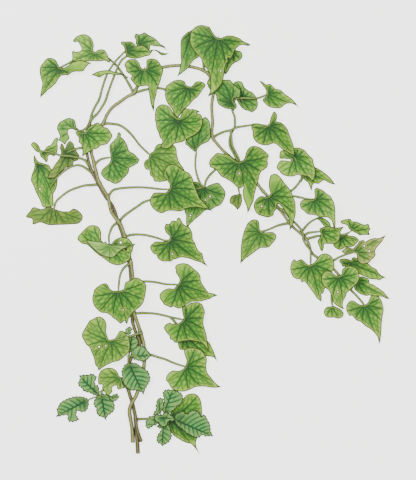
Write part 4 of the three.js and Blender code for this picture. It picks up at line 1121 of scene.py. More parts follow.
@dataclass(frozen=True)
class StemSkin:
    """Ridged skin of a stem or stalk, coloured from its grooves up to its ridges.

    Herbaceous bark: the green stem and the stalks keep a dull ridged skin with paler ridges,
    and the drier stem is browner because its skin has begun to cork. Its slanting fibres
    are drawn coarser than real ones, so that they show. The sides are painted darker as
    shade, and a light line along the top is a painted highlight.

    Args:
        name: Name of the material.
        body: Colour of the skin.
        groove_and_side_shade: Colour of the grooves, darker between the ridges, and of the painted
            shade on the sides.
        top_highlight: Colour of the painted highlight, a light line along the top.
        shade: Colour of the fibres and of the darker patches.
        fleck: Colour of the spots.
        pith: Colour of the middle of a cut end.
        stroke: How far the fibres show.
    """

    name: str
    body: str
    groove_and_side_shade: str
    top_highlight: str
    shade: str
    fleck: str
    pith: str = "#cfc795"
    stroke: float = 0.5

    def make(self) -> bpy.types.Material:
        """Builds the material.

        Returns:
            The material.
        """
        clouds = {"drift": (9, 3), "mottle": (1.6, 4), "speck": (3.5, 2)}
        coat = Coat(self.name, ("crest", "top", "swirl", "core"), clouds)
        links = {0: coat.sources["swirl"], 1: math.tau}
        turns = add(coat.tree, "ShaderNodeMath", links, operation="MULTIPLY").outputs[0]
        coil = add(coat.tree, "ShaderNodeMath", {0: turns}, operation="SINE")
        coat.sources["coil"] = coil.outputs[0]
        washes = [
            Wash(self.shade, Fade("drift", 0.45, 0.62, 0, 0.6)),
            Wash(self.groove_and_side_shade, Fade("crest", 0, 0.55, 0.75, 0)),
            # Painted shade: the sides, away from the top, are laid darker.
            Wash(self.groove_and_side_shade, Fade("top", 0.68, 0.95, 1, 0), Fade("top", 0.2, 0.5, 0.35, 1)),
            Wash(
                self.shade,
                Fade("coil", 0.2, 0.9, 0, self.stroke),
                Fade("mottle", 0.3, 0.6, 0.3, 1),
            ),
            # Painted highlight: a light line along the top.
            Wash(self.top_highlight, Fade("top", 0.91, 0.985, 0, 0.9), Fade("mottle", 0.35, 0.55, 0.35, 1)),
            Wash(self.fleck, Fade("speck", 0.62, 0.72, 0, 0.7)),
            Wash(self.pith, Fade("core", 0.05, 0.45, 0, 1)),
        ]
        relief = Fade("mottle", 0.3, 0.7, 0.3, 1), Fade("coil", -1, 1, 0.6, 1)
        rough = Fade("mottle", 0.3, 0.7, 0.5, 0.72)
        return coat.finish(self.body, washes, relief, depth=0.15, rough=rough, ior=1.47)


STEM_SKINS = {
    # Green bark of the younger stem: grown this season and still soft; dull with pale ridges, and a
    # painted highlight along its top.
    "stem_light": StemSkin(
        "stem_bark_green", "#6d7434", "#2e3313", "#a8ae60", "#4a4f20", "#524019"
    ),
    # Brown bark of the older stem: its skin has begun to cork, so it looks dry and dark.
    "stem_dark": StemSkin(
        "stem_bark_brown", "#554f24", "#241e0d", "#85814a", "#383114", "#38260f"
    ),
    # Bark of the leaf stalks: as green as the leaves, with a fine painted highlight along its top.
    "stalk": StemSkin(
        "stalk_bark", "#5a7529", "#24310f", "#93ac52", "#3c501b", "#4d501e"
    ),
}


@dataclass(frozen=True)
class Leaf:
    """One leaf: its stalk and blades.

    Args:
        name: CAD node that it stands for.
        tint: Skin of the blades.
        stalk: Route of the stalk.
        blades: The blades.
        side_stalks: Routes of the leaflets' own stalks.
        kind: How the veins run.
        slot: Material slot of the leaf; not used.
        stalk_radius: Radius of the stalk in mm.
        side_radius: Radius of a leaflet's own stalk.
        stalk_width: How much wider a stalk is than it is high, at its start and at its end.
        tuck: How far a stalk runs on below the blade.
        sink: How far it lies lower at the junction and at its end.
        lowest: Least height of that end.
    """

    name: str
    tint: Tint
    stalk: str
    blades: tuple[Blade, ...]
    side_stalks: tuple[str, ...] = ()
    kind: Kind = Kind.HEART
    slot: str = "leaf_green"
    stalk_radius: float = 1.15
    side_radius: float = 0.8
    stalk_width: tuple[float, float] = (1.95, 1.6)
    tuck: float = 3.0
    sink: tuple[float, float] = (0.6, 0.9)
    lowest: float = 0.7

    def build(self, skins: dict[Tint, bpy.types.Material], stalk_skin: bpy.types.Material) -> None:
        """Builds the leaf and hands it to the frame.

        Args:
            skins: Leaf materials by tint.
            stalk_skin: Material of the stalk.
        """
        route = read_route(self.stalk)
        parts = []
        for number, blade in enumerate(self.blades):
            junction = read_place(blade.base) if blade.base else route[-1, :2]
            seed = sum(map(ord, self.name)) % SEEDS + number * BETWEEN_SEEDS
            sheet = BladeSheet(blade, self.kind, junction, seed)
            parts.append((sheet.mesh(), skins[blade.tint or self.tint]))
        stalk = Rod(
            self.tucked(route),
            self.stalk_radius,
            knots=(0.0,),
            swell=0.3,
            taper=0.9,
            width=self.stalk_width,
            point=7.0,
            step=1.6,
            sides=12,
        )
        parts.append((stalk.mesh(), stalk_skin))
        for text in self.side_stalks:
            side = Rod(
                self.tucked(read_route(text)),
                self.side_radius,
                taper=0.8,
                width=self.stalk_width,
                point=5.0,
                step=1.4,
                sides=12,
            )
            parts.append((side.mesh(), stalk_skin))
        made = piece(f"{self.name}_grown", parts)
        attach(made, "root")
        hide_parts(self.name)

    def tucked(self, route: np.ndarray) -> np.ndarray:
        """Leads the end of a stalk on below the blade, so that they meet with no gap.

        Args:
            route: Places of the stalk.

        Returns:
            The places with the lowered junction and the new end.
        """
        ahead = route[-1] - route[-2]
        beyond = route[-1] + ahead / np.linalg.norm(ahead) * self.tuck
        tail = np.array([route[-1], beyond]) - [[0, 0, depth] for depth in self.sink]
        tail[:, 2] = np.maximum(tail[:, 2], self.lowest)
        return np.vstack([route[:-1], tail])


@dataclass
class Stem:
    """One of the two twining stems, swollen where its leaves join it.

    Args:
        name: CAD node that it stands for.
        routes: Route of the stem and of any shoot that it carries, each with its radius in mm
            and how much wider than high it is at both ends.
        near: Distance from the stem at which a stalk's start counts as joined to it, in mm.
        swell: Share that it swells by where a leaf joins it.
    """

    name: str
    routes: tuple[tuple[str, float, tuple[float, float]], ...]
    near: float = 6.0
    swell: float = 0.2

    def build(self, skin: bpy.types.Material) -> None:
        """Builds the stem and hands it to the frame.

        Args:
            skin: Its material.
        """
        parts = []
        for text, radius, width in self.routes:
            route = read_route(text)
            line = smooth(route, Rod.step)
            run = travelled(line)
            knots = []
            for leaf in LEAVES:
                gaps = np.linalg.norm(line - read_route(leaf.stalk)[0], axis=1)
                if gaps.min() < self.near:
                    knots.append(float(run[gaps.argmin()]))
            rod = Rod(route, radius, tuple(knots), self.swell, width=width, cut=True)
            parts.append((rod.mesh(), skin))
        made = piece(f"{self.name}_grown", parts)
        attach(made, "root")
        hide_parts(self.name)


LEAVES = (
    Leaf("leaf_upper_left", Tint.FRESH, stalk="""
        105,56.8,4 99,56,3.2 93,56,2.6 88,57.5,2.6 75,60,2.6 66,65,5 60,68,8""",
        blades=(Blade((8, 3, 10.5), """
        60,67 58.5,64.5 56.5,61 54,59 50,58 46,59.5 44,62 41,66 40,69 40,73.5 41,78.5 42.5,83.5
        41.5,89 *40,98 44,94.5 48,90.5 52.5,87 56.5,83 59,79 61,76.5 64.5,75.5 68.5,75.5 72,73
        75.5,72 80.5,72 84,71 86,68 88.5,65 92,63.5 89,62.5 85.5,61.5 80.5,60.5 75.5,61.5
        72,62.5 69.5,65 66.5,67 63,68"""),),
    ),
    Leaf("leaf_pale_top", Tint.YOUNG, stalk="""
        133.5,93,2.3 130,86,2.4 122,73,2.4 115,64,2.4 109,59,3 100,54,5.4 95,52.5,6""",
        blades=(Blade((6, 5, 6.5), """
        93.5,50 94,46 93,41 90,37 85.5,34.5 80,35 75.5,37.5 73,41 74.5,42.5 78,42 80,45.5
        81.5,48 81,50.5 76.5,52 73,51 72,52.5 72.5,57 *72,61.5 80,62 90,61.5 95,61.5 101,61.5
        105,61 109.5,63 110.5,60.5 109,58.5 107.5,54.5 105,50.5 101,49.5 97.5,50.5 95,52.5"""),),
        slot="leaf_pale",
    ),
    Leaf("leaf_sliver", Tint.FRESH, stalk="124.6,76.8,2.4 125.6,77.2,5 127,77.5,7.4",
        blades=(Blade((7.6, 7.6, 7.6), """
        128.5,78.5 125,75.5 120,73 115,72 109.5,70.5 100.5,71 95,73 *91,75.5 96,76.5 99.5,78
        105,75 109.5,74.5 114.5,75.5 121,75.5"""),),
        kind=Kind.FEATHER,
    ),
    Leaf("leaf_top_front", Tint.FRESH, stalk="""
        89,125,2.3 91,118,2.3 92,114,2.3 95,107,2.6 99,100,3.4 102.5,88,4.8 107,75,5.5
        113,65,5.5 117,60,6.2 121,56,7.6 126,51,10""",
        blades=(Blade((10, 8, 10), """
        124,47.5 121,44 121.5,42 125.5,42 131.5,42 135,44.5 136,46 143,45.5 145.5,47 148,49
        150,50.5 153,50 157.5,50.5 161,52.5 165.5,53.5 *169.7,53.3 165,55.5 161,55.5 157.5,52.5
        153.5,51 152,52.5 150,55.5 145,57 138,59 132.5,59 127.5,57.5 125.5,54.5"""),),
    ),
    Leaf("leaf_top_back", Tint.DEEP, stalk="""
        90,122,2.3 93,118,2.3 98,113,2.5 102,107,3 105,102,3.4 109.5,89,4.8 114,77,5.5
        119,65,5.5 122,60,5.5 126,57,5.5 132,51,5.8 138,46,6""",
        blades=(Blade((6, 5, 6), """
        136,44.5 136,40.5 134.5,37.5 135,35 136,34 140,34.5 145,32.5 147,34 150.5,36 155,38.5
        158.5,42 161,44.5 164.5,46.5 *166.5,50.5 163.5,48 160,47 155,46.5 150.5,46 150,49.5
        144,50"""),),
    ),
    Leaf("leaf_arch_left", Tint.FRESH, stalk="135,91,2.3 137,87,4.8 140,80,8 144.5,69.4,12",
        blades=(Blade((12, 9, 12), """
        142,68.5 139.5,63.5 136.5,60 132.5,59.5 129,60 126,62.5 124.5,66 126,68.5 126.5,72
        130,74.5 132,76.5 130.5,79 132.5,82 135,85 138,87 143.5,86.5 148,86.5 148.5,90.5
        149.5,96 150.5,102.5 152,108 *153.7,111.7 154.5,107.5 155,101 156.5,95.5 157.5,90
        159.5,85 161,80.5 162.5,75 163.5,71 162.5,68 160.5,64.5 158.5,61.5 155.5,59.5 151.5,59
        148,59.5 146.5,62.5 146.5,66.5 145.5,69"""),),
    ),
    Leaf("leaf_arch_top_left", Tint.DEEP, stalk="204,70.9,2.3 203,60,3 198,45,3.6 192,32,5.3",
        blades=(Blade((5.5, 6.8, 5.5), """
        189,31.5 184.5,35 181.5,38.5 180.5,43.5 180.5,49.5 180.5,55.5 181,62.5 180,66.5 179,72
        *176.7,77.5 180.5,74.5 184.5,71.5 188.5,68 191.5,63.5 194.5,60 198,58 201,48 200,38
        196,32"""),),
    ),
    Leaf("leaf_arch_top", Tint.FRESH, stalk="208.3,74.3,2.3 212,62,5 216,50,9.5 218,38.5,13",
        blades=(Blade((13, 10, 13), """
        216.5,37.5 213.5,34 211.5,31 209.5,27.5 206,26.5 201.5,25.5 197,26.5 193.5,29 191,32
        190,37 189.5,42 191,46.5 194,51.5 197.5,56 200.5,58.5 203,64.5 206,68.5 209,73.5
        210,78.5 210.5,84 210,91 *207.4,97.5 211,95.5 215,92 219.5,87.5 222,84 223.5,79
        224.5,73.5 225.5,67 228.5,62 232,58 234,53 236,49.5 240,46 243.5,45.5 247,46.5
        250.7,45.7 247.5,43.5 244,42 239,38.5 233.5,36.5 228.5,36 224.5,37 221,38.5""",
            holes=("228.5,59.5,0.9", "220.5,71.5,0.8",)),),
    ),
    Leaf("leaf_arch_top_back", Tint.DEEP, stalk="211.3,79.5,2.3 219,70,3.5 226,60,5 231,50,6",
        blades=(Blade((6, 5, 6), """
        234,49.5 236.5,50.5 240.5,51.5 242.5,55 241,59.5 237.5,62 233,64.5 230,68.5 228,72
        *224.7,75.6 224,68 226,58"""),),
    ),
    Leaf("leaf_arch_inner", Tint.FRESH, stalk="""
        134.3,93,2.3 141,91,2.6 148,89.3,3.2 158,88.3,4 165.5,89.5,4.8 175,91,6.2 188.3,87.8,8.8""",
        blades=(Blade((9, 8, 9), """
        186.5,85.5 185,82 182.5,80.5 178,80 174,81 169.5,83.5 166,86.5 165.5,90.5 165,95.5
        166,100.5 168,104.5 171,108 173,111.5 174.5,115.5 *178,118.4 181,114.5 183.5,110.5
        186.5,108 189.5,105.5 193.5,100.5 198,97 200.5,93.5 203.5,89 205.5,86.5 205,84 202,82
        198,81.5 194.5,83 191.5,86.5"""),),
    ),
    Leaf("leaf_centre_upper", Tint.FRESH, stalk="""
        165.5,89.5,4.8 170,98,3 175,108,2.6 177.5,116,3.4 178,121,8.8""",
        blades=(Blade((9.5, 8, 13.5), """
        175.5,116 172,110.5 169.5,107 166,105 162,104.5 158.5,106 156,109 155,114 155,119.5
        156,125 156.5,128.5 158.5,133 160,138 162,140 162,143.5 *160.4,147.3 162.5,148.5 166,149
        169,148.5 171.5,146.5 174.5,144 179.5,143 183,142 186.5,140 191,137.5 195.5,135 200,131
        202,127 203,122.5 202.5,119 201.5,115.5 199.5,114 197,113.5 200,112.5 197,110.5
        193.5,109.5 189.5,109.5 186,108.5 183,110.5 181.5,114 179.5,118"""),),
    ),
    Leaf("leaf_centre_back", Tint.DEEP, stalk="""
        228,155.5,2.3 222,163,2.3 215,170,2.6 209,176,3.6 206,181,5.6 204,187,6.8 200,183,6.8
        197,175,6.6 195.5,168,6.4 195.5,160,6.2 196.5,151,6""",
        blades=(Blade((6, 5.8, 6), """
        199,147.5 201.5,145 205,143.5 208.5,141.5 210.5,139 211,133.5 210.5,128 210,122.5
        207.5,118.5 205.5,117 *203,118 197,125 189,135 185,143.5 188.5,147 192,150 195,152""",
            droop=0.3),),
    ),
    Leaf("leaf_centre_left", Tint.YOUNG, stalk="""
        104,124,2.3 108,123.5,2.3 113,124,2.4 119,125,2.6 125,128.5,3 130,133,3.4 135,139,3.8
        140,145.5,4.2 150,155,4.9""",
        blades=(Blade((5, 2, 5), """
        150.5,153 153.5,151 155,147.5 157.5,144.5 160.5,143.5 168,143 174.5,145.5 176.5,149
        177,154 178,158.5 180,163 182.5,166.5 *185,171 175,178 164.5,181.5 161,182 157.5,182
        154,181 153,178 150,175 149.5,171.5 149,170 146.5,170 144.5,167.5 144,163 146,160
        148,158.5 149,155.5"""),),
    ),
    Leaf("leaf_centre_large", Tint.FRESH, stalk="""
        108,197,7 113,190.5,7 120,188.5,6.6 130,187.6,6.4 140,187.4,6.6 150,188,7.4
        160,189.2,9.4 169,189.5,10.8""",
        blades=(Blade((11, 8, 11), """
        169.5,187.5 169.5,184.5 167.5,181 164.5,178 163.5,174.5 164.5,170.5 167,166.5
        170.5,164.5 174.5,164.5 178,166 181.5,169 185,171 188.5,172.5 191.5,176 193.5,180.5
        194.5,184.5 196.5,189.5 198,193.5 200,198 203.5,201.5 207,205.5 210.5,209.5 *213,211.7
        206.5,209.5 202,208.5 196.5,207.5 191,208 186,209 182.5,211 178,211.5 174,211 168,211
        165.5,212 162,213.5 157.5,212 154,209.5 151.5,206.5 150,202.5 150,199.5 151.5,196
        154,193 157.5,192.5 162,192.5 165.5,192.5 167.5,191"""),),
    ),
    Leaf("leaf_centre_lower", Tint.DEEP, stalk="""
        119.5,221,2.3 124,216,2.3 130,211.5,2.3 138,206,2.3 144,202,2.4 150,200,2.6 162,197,2.8
        175,194,3 190,190,3.4 203,187.5,4""",
        blades=(Blade((4, 2, 4), """
        204,186.5 206.5,186.5 210.5,184.5 215,183 219,183 221,185.5 224,189 225.5,192.5 225,197
        223,201.5 220.5,205 216,207 210.5,210 205.5,210.5 200,215.5 193.5,221 190,224.5
        *188.7,226.5 186.5,225.5 186,220.5 186,215.5 184.5,211.5 185,203 188,193 192,183
        196.5,181.5 200,184.5 202.5,186.5""",
            holes=("210,196.5,0.8", "205.5,200,0.7", "190.5,215.5,0.8",)),),
    ),
    Leaf("leaf_left_inner", Tint.DEEP, stalk="94.5,165,3.3 99,160.5,4 104,158.5,5 110.5,157.5,6",
        blades=(Blade((6, 2, 5), """
        110.5,155.5 109.5,150.5 109.5,146 111,143.5 114,140.5 116.5,137.5 117.5,134 118.7,132
        121,134 121,137 123,138.5 126,142.5 128,147 129.5,151 134,153.5 137,156.5 *139.7,159.8
        138,163 133.5,166 129.5,168.5 129,172 127,175 123.5,178.5 121,181.5 117.5,183.5
        114.5,184 110.5,182 106,180 103,177 101,173.5 102.5,169.5 105.5,166.5 109,163.5
        110.5,160"""),),
    ),
    Leaf("leaf_left_bright", Tint.FRESH, stalk="87.2,135.5,2.3 85.5,134,5 84,132,7.2",
        blades=(Blade((7.4, 6.6, 7.4), """
        85,132 86,130.5 90,126 93.5,124.5 98,122.5 100.5,124 103,126.5 107.5,128 110,131
        112.5,136 110,141 106.5,144.5 101,146 98,148.5 93.5,150 88.5,153 85,155 *82,157.8
        82.5,153.5 82.5,149.5 81.5,145 79,142.5 79,138 77,135.5 75.5,133 76.5,131.5 82.5,132""",
            droop=0.6),),
    ),
    Leaf("leaf_left_crook", Tint.DEEP, stalk="88.8,126,2.3 86,128.5,3.4 81,131,4.4 76,130,4.6",
        blades=(Blade((4.6, 1, 4), """
        82,131.7 78.5,129 76.5,127 76,124 75,120.5 72,118.5 68.5,118 64.5,119.5 60,122 58,124.5
        57,129 58.5,132.5 60,136.5 58.5,140.5 60,141 63.5,143.5 *65,145 67,141.5 69.5,139 69,136
        68,131.5 69.5,129.5 73.5,129.5 80,131.8"""),),
    ),
    Leaf("leaf_far_left", Tint.FRESH, stalk="""
        90.6,168,2.3 87.6,164,2.6 85.5,160.6,3.4 82,159,4.6 77,157.5,6.6 71.5,156.5,7 66,156,7
        60,155.4,6.6 56.3,154,6 50,152,5 42.9,151.1,4""",
        blades=(Blade((4, 1.2, 4), """
        44.5,150 46.5,147 50.5,145 52.5,142.5 54.5,139 57.5,137.5 58.5,139.5 57.5,142.5 58,146.5
        57.5,151 56.5,153.5 54,156.5 50.5,155 48,157 48,160 *46.7,162.8 43,159 40.5,156.5
        39.5,153 36,151.5 33.5,148.5 31,145 33.5,142 37,143.5 39.5,146.5 41,150"""),),
    ),
    Leaf("leaf_left_olive", Tint.OLIVE, stalk="""
        86.7,150,2.3 83,148,2.5 77,148.7,2.8 72.8,150,3.2 68,152,3.4""",
        blades=(Blade((3.4, 2.6, 3.4), """
        67,143.5 70,141 73.5,143.5 75,148 77,151.5 79.5,155.5 78.5,160 74,162 73.5,164 71.5,166
        67,167.5 63,170.5 58.5,175 55,179 *52.7,183.6 54,178.5 47.5,178.5 53,167.5 56,163
        59.5,158 61,152 60,148 61.5,143.5 63.5,145 65,148.5""", droop=0.5),),
    ),
    Leaf("leaf_left_hanging", Tint.FRESH, stalk="""
        93.3,174,2.3 87,169,3.2 82,166,4.4 78,165.3,5.2 72,166.5,5.6 66,170,5.6 61,174,5.4
        56,179,5.2 53,183,4.6 51,186.5,2.4 50,188,1.6""",
        blades=(Blade((1.4, 1.2, 1.6), """
        43,207 40.5,201.5 38.5,197.5 35.5,191.5 33.5,186 31,180.5 31.5,175.5 33.5,170 34.5,165
        33.5,160 *34.4,154.3 36,158 38.5,161.5 43,163 46.5,164 49.5,165.5 51.5,169 57.5,177.5
        57.5,183 56,189.5 53.5,194 53.5,200 53,206""",
            droop=0.2, holes=("40,189,0.8",), fan="39.5,165"),),
    ),
    Leaf("leaf_left_brown", Tint.OLIVE, stalk="""
        98.3,184.3,2.3 92,185,2.5 85,185.5,2.5 78,187.5,2.5 70,190.5,2.5 62,196,2.6 56,202,2.8
        54.5,207,3""",
        blades=(Blade((3, 0.8, 3), """
        49.5,206.5 41.5,209 33.5,207 30,211 26,217 32,219 33,224.5 40,222.5 48,225 *57.5,225
        69.5,224.5 79.5,223 83,217 79,211 73.5,208.5 69.5,211 61.5,211 55.5,209"""),),
        tuck=7.0,
    ),
    Leaf("leaf_folded", Tint.FRESH, stalk="""
        117.6,222.5,2.3 113,226,3 110.5,231,4.5 109,237,7 109.5,244,9.8""",
        blades=(
            Blade((10, 11.5, 6), """
        104,242.5 102,240.5 101.5,236 101.5,232.5 100,228.5 97.5,226 94,225 89.5,225.5
        85.5,228.5 81.5,232.5 78.5,236 77.5,239 80,242 83,244 86.5,244.5 90.5,247.5 94.5,251.5
        98,254.5 102.5,257.5 106.5,260.5 111,263.5 115,265 119.5,265 123.5,264 126.5,262.5
        130,260 131.5,257.5 131.5,254 133,250.5 134,246 *136.6,242.9 133.5,244 132,242 129,238.5
        125.5,237.5 121.5,237 117,238.5 113.5,241 111.5,243.5""",
            droop=0.8, holes=("121,242.5,1.3", "126,249.5,0.8")),
            Blade((11.3, 12.8, 7.3), """
        86.5,239 91,240.5 97,241 101.5,241.5 104,242.5 105.5,241 108,243.5 111,244.5 119.5,244.8
        126.5,244.8 133.5,244.5 *136.6,242.9 133.5,245 128,247 123,249.5 118.5,253 113.5,257.5
        108.5,257.5 104.5,256.5 99,253.5 94,249.5 90,245.5 87,241.5""",
            droop=0.8, tint=Tint.FOLD),
        ),
    ),
    Leaf("leaf_middle", Tint.FRESH, stalk="""
        125.3,236.5,7 131,235,7 137,234.5,7 145,235,7 152,236.5,7.2 159,238.5,7.4 165,240.5,7.7
        170.3,240.2,8""",
        blades=(Blade((8, 2, 7.5), """
        169.5,236.5 167,234 165,230.5 164.5,227 166.5,223.5 169,224 171,221.5 174.5,220.5
        176.5,221 177,218.5 179,217.5 181.5,220 182.5,222.5 185,225 188.5,226.5 191,229.5
        192.5,234 193,239.5 195,242.5 196.5,246.5 199,251 202,253 202.5,254 204,260 206,264
        *207.9,266.8 204,264.5 200.5,262.5 195.5,261 190,259 185.5,258 181,257.5 176.5,259
        173,260 171,261.5 166.5,261.5 163,261.5 160.5,260.5 158,258.5 156,254.5 154,254
        151.5,251 150,247.5 152,244 155.5,241.5 160.5,241.5 164.5,241.5 168,240.5""",
            holes=("172.5,254,0.8",)),),
    ),
    Leaf("leaf_over_stems", Tint.FRESH, stalk="""
        130.8,263,7 126,266,7.4 122,271,8.4 120,277,9.6 118.5,290.5,11.8""",
        blades=(Blade((12, 11, 12), """
        115,290.5 112.5,290 110,288 108.5,285 106,283 103,283.5 100.5,284.5 97.5,286.5
        94.5,289.5 93.5,293.5 92.5,297.5 93,302 94.5,306 98,310 101.5,312.5 106,313 109.5,314.5
        113,317.5 116.5,320 121,323.5 123.5,321.5 125,320.5 125.5,322.5 *127.3,324.2 128.5,320
        130.5,316.5 132,314 135.5,310.5 140,307 143.5,302.5 145,297.5 146,292.5 146.5,287.5
        146.5,285.5 144.5,282 141,279 137.5,277.5 134,278 130.5,280 126.5,281.5 124.5,285
        124,288.5 121,290""", droop=1, holes=("123.5,309.5,0.7",)),),
    ),
    Leaf("leaf_middle_right", Tint.FRESH, stalk="""
        133.2,284,7 144,281.5,7.2 150,281.5,7.2 158,282.5,7.4 165,284,7.6 178,284.5,8""",
        blades=(Blade((8, 2, 8), """
        179.5,280.5 179,277.5 177,274.5 175.5,272 176,270 175,267.5 176.5,265 179.5,263.5
        183.5,263 187,263.5 190.5,265.5 195,269.5 198.5,272.5 200.5,276 201,280.5 202.5,284
        205,287.5 207,290.5 209,292.5 212.5,293 *218.1,295.5 213,297 209.5,299 205.5,300
        201,301.5 196.5,301.5 191.5,302 187,304.5 183,307 179.5,308.5 176.5,308 173.5,306.5
        171,307.5 167.5,306 164,304.5 162,301.5 160,298.5 159.5,295 161,292.5 164.5,289.5
        169,288 173.5,288.5 176,286"""),),
    ),
    Leaf("leaf_lower_middle", Tint.FRESH, stalk="""
        134.3,313.3,7 140,313,7 147,313,7 155,313.5,7.3 163,315,7.8 171,317,8.5 183,319.5,9.4""",
        blades=(Blade((9.5, 5, 10.5), """
        183.5,317.5 182.5,313.5 182,310 182,307.5 186.5,305 190,303 194,302 198.5,302 202,304
        204,308 205,312 204,317 203.5,323.5 205,329 206.5,334.5 207.5,341 208.5,347.5
        *208.6,350.8 206,348.5 204,345 200.5,342.5 195.5,341.5 190.5,340.5 186.5,341 182,341.5
        178.5,342.5 175,342.5 172.5,340 170,339 169.5,336 166.5,332.5 164.5,329.5 164,327
        166,324 169.5,322.5 173.5,323.5 178,323 181,321"""),),
    ),
    Leaf("leaf_lower_dark", Tint.FRESH, stalk="171,317,8.5 175,322,5.5 179,328,4.2 184,336,4",
        blades=(Blade((4, 2, 4), """
        180,336 178,340 178.5,346.5 180,349.5 183,350 188,351 195,352.5 201,354.5 206,356
        210,356.5 214,357.5 *217.7,363.1 215.5,356 214,351.5 212,347.5 210.5,344 208.5,341.5
        204,337 198,333 191,331 187,332.5"""),),
    ),
    Leaf("leaf_lower_right", Tint.BRIGHT, stalk="""
        144.3,353,2.3 152,355,3.4 158,357,4.6 165,359,5.8 172,362,6.8 179,364.5,7.6 186,366.5,8""",
        blades=(Blade((8, 3, 8.5), """
        186.5,361 185,355.5 184,352.5 184.5,349 188.5,347.5 194,347.5 198.5,348.5 202.5,351
        205,354.5 207,358.5 206.5,364 206.5,368.5 207.5,372.5 211,377 214,381 217,384 220,386
        *222.7,386.4 217.5,387.5 211.5,387.5 205.5,386.5 199,386.5 195.5,387 191,389 186,391
        182.5,391.5 177.5,391 172.5,389 170,386 168.5,383 166,380 166.5,376 169,372.5 173,370
        177.5,370.5 181.5,369.5 184,367.5"""),),
    ),
    Leaf("leaf_lower_left", Tint.YOUNG, stalk="""
        141.2,333,2.3 140.6,332.8,7 136,334,8 128,337,8.6 119,339,9.6 110.5,340,10""",
        blades=(Blade((10, 7, 10), """
        109,339 107.5,335.5 106.5,330.5 107,325.5 106,321 104,318.5 101,316.5 97,316.5
        93.5,318.5 89.5,320.5 87.5,324 85,328 83,331.5 82,335.5 83.5,339.5 86.5,344.5 89.5,347
        91.5,352 93.5,356.5 94.5,360.5 95.5,365 97.5,367 *98.6,370.7 101,369 104.5,366.5 109,364
        113.5,362 119.5,360.5 123.5,357.5 127,354.5 129.5,351.5 130.5,346.5 130,340 128.5,336
        125.5,332.5 123,330.5 120,330.5 118.5,332.5 116.5,336 114.5,338.5 112.5,339""",
            droop=0.8, holes=("99.5,346.5,0.9", "106,345.5,0.7",)),),
    ),
    Leaf("leaf_pale_curled", Tint.YOUNG, stalk="128,381,2.3 124,379,3.4 121,377.5,4.4",
        blades=(Blade((4.6, 3.6, 4.6), """
        121.5,377.5 119.5,376 118,372.5 116,370 113,368 109,367.5 104,368.5 100.5,371 98.5,375.5
        98,380.5 99,384.5 102.5,384.5 102,387.5 104,391 106.5,394.5 *108.8,396.6 109.5,395
        112.5,391.5 112,389 113,386.5 117,385.5 117,388 118.5,389.5 121.5,388.5 125,387.5
        123,383""", droop=0.4),),
        slot="leaf_pale",
    ),
    Leaf("compound_leaf_left", Tint.BLUISH, stalk="""
        128.8,390,2.3 123,384,1.7 118,380.5,1.6 111,383,1.6 104,389,1.6 100,396,1.8""",
        blades=(
            Blade((1.9, 1.2, 1.9), """
        98,396 94,395 89.5,393 83.5,391 81.5,388 78.5,386 78,382.5 79,380.5 80,377.5 *78.5,375.5
        84,374.5 87.5,374.5 92,373.5 95,375 97,377.5 95.5,380.5 95.5,384.5 98,385 99.5,394""",
            base="99,395"),
            Blade((1.9, 0.9, 1.9), """
        95,398.5 93.5,404.5 96,408.5 96.5,413 99.5,416.5 103.5,417.5 *106,420.7 107,417
        110.5,414 113.5,411.5 115,407 114,402 112,398 109,395 102,393.5""", base="101,394"),
            Blade((1.9, 1.2, 1.9), "108,396 111.5,395 117,393.5 *119.5,397 115.5,401 111,401",
            base="110,397"),
            Blade((1.8, 0.8, 1.8), """
        88.5,399.5 84.5,397 78,396 72,397 65,399.5 60.5,402.5 58.5,405.5 56.5,410 57.5,413.5
        *55.6,417 59,416.5 63.5,415.5 67.5,415.5 67.5,419 69,421.5 73.5,422 79,419.5 78,417
        76.5,415 78,410.5 80.5,412 85.5,411.5 88,408.5 89,403.5""", base="88.5,399.7"),
        ),
        side_stalks=(
            "100,396,1.8 94,397.5,1.8 88.5,399.7,1.8 84,402,1.8",
            "104,389,1.6 99,392,1.8 95,390,1.8",
            "100,396,1.8 102,399,1.8",
        ),
        kind=Kind.TOOTHED,
        slot="leaflet_blue",
    ),
    Leaf("compound_leaf_over_stems", Tint.BLUISH, stalk="""
        144.5,358,2.3 140,357,5.2 136,356,6 132,355.6,6.2 128.5,355.7,6.2""",
        blades=(
            Blade((6.4, 6.6, 6.4), """
        131,351.5 134.5,348 138,345 140.5,345.5 145,347 146.5,348.5 149,351.5 *151.5,355.7
        148.5,358.5 146,360.5 143.5,361.5 140,361 136.5,360 133.5,359""", base="128.5,356"),
            Blade((6.2, 5.4, 6.2), """
        126.5,351 126,345 127.5,339 129.5,335.5 *132.5,334 134.5,335.5 137,337.5 138.5,340
        139,343.5 137.5,346 135.5,349.5 133,352.5""", base="128.8,355.5", droop=0.2),
            Blade((5.3, 5, 5.3), """
        126,334 125,330.5 126.5,328 *129.2,326.4 131,327 132.5,329 131.5,331 131,334""",
            base="129,338", droop=0.2),
            Blade((7, 6.6, 7), """
        125,364 123.5,366.5 121.5,371 122,375 122,379.5 123.5,384 126.5,387.5 130,390
        133.5,390.5 137.5,390.5 140.5,391.5 *143.9,394.7 145,390 147,386.5 149,383 150.5,378.5
        150,375 148.5,371 145.5,369 142,366.5 138.5,364 135,362.5 130,362.5""",
            base="128.3,362", droop=0.6),
        ),
        side_stalks=(
            "129.5,342,5.5 129.3,337,5.3 129,331,5.2",
            "128.5,355.7,6.2 128.3,363,6.9 130,367,7",
            "128.5,355.7,6.2 130,352,6.1",
            "128.5,355.7,6.2 134,355.5,6.3",
        ),
        kind=Kind.TOOTHED,
        slot="leaflet_blue",
    ),
    Leaf("compound_leaf_base", Tint.BLUISH, stalk="""
        136.3,419.3,2.3 142,418.8,2.8 147,418.8,3.4 155,418.5,4.2 162.5,418,4.6""",
        blades=(
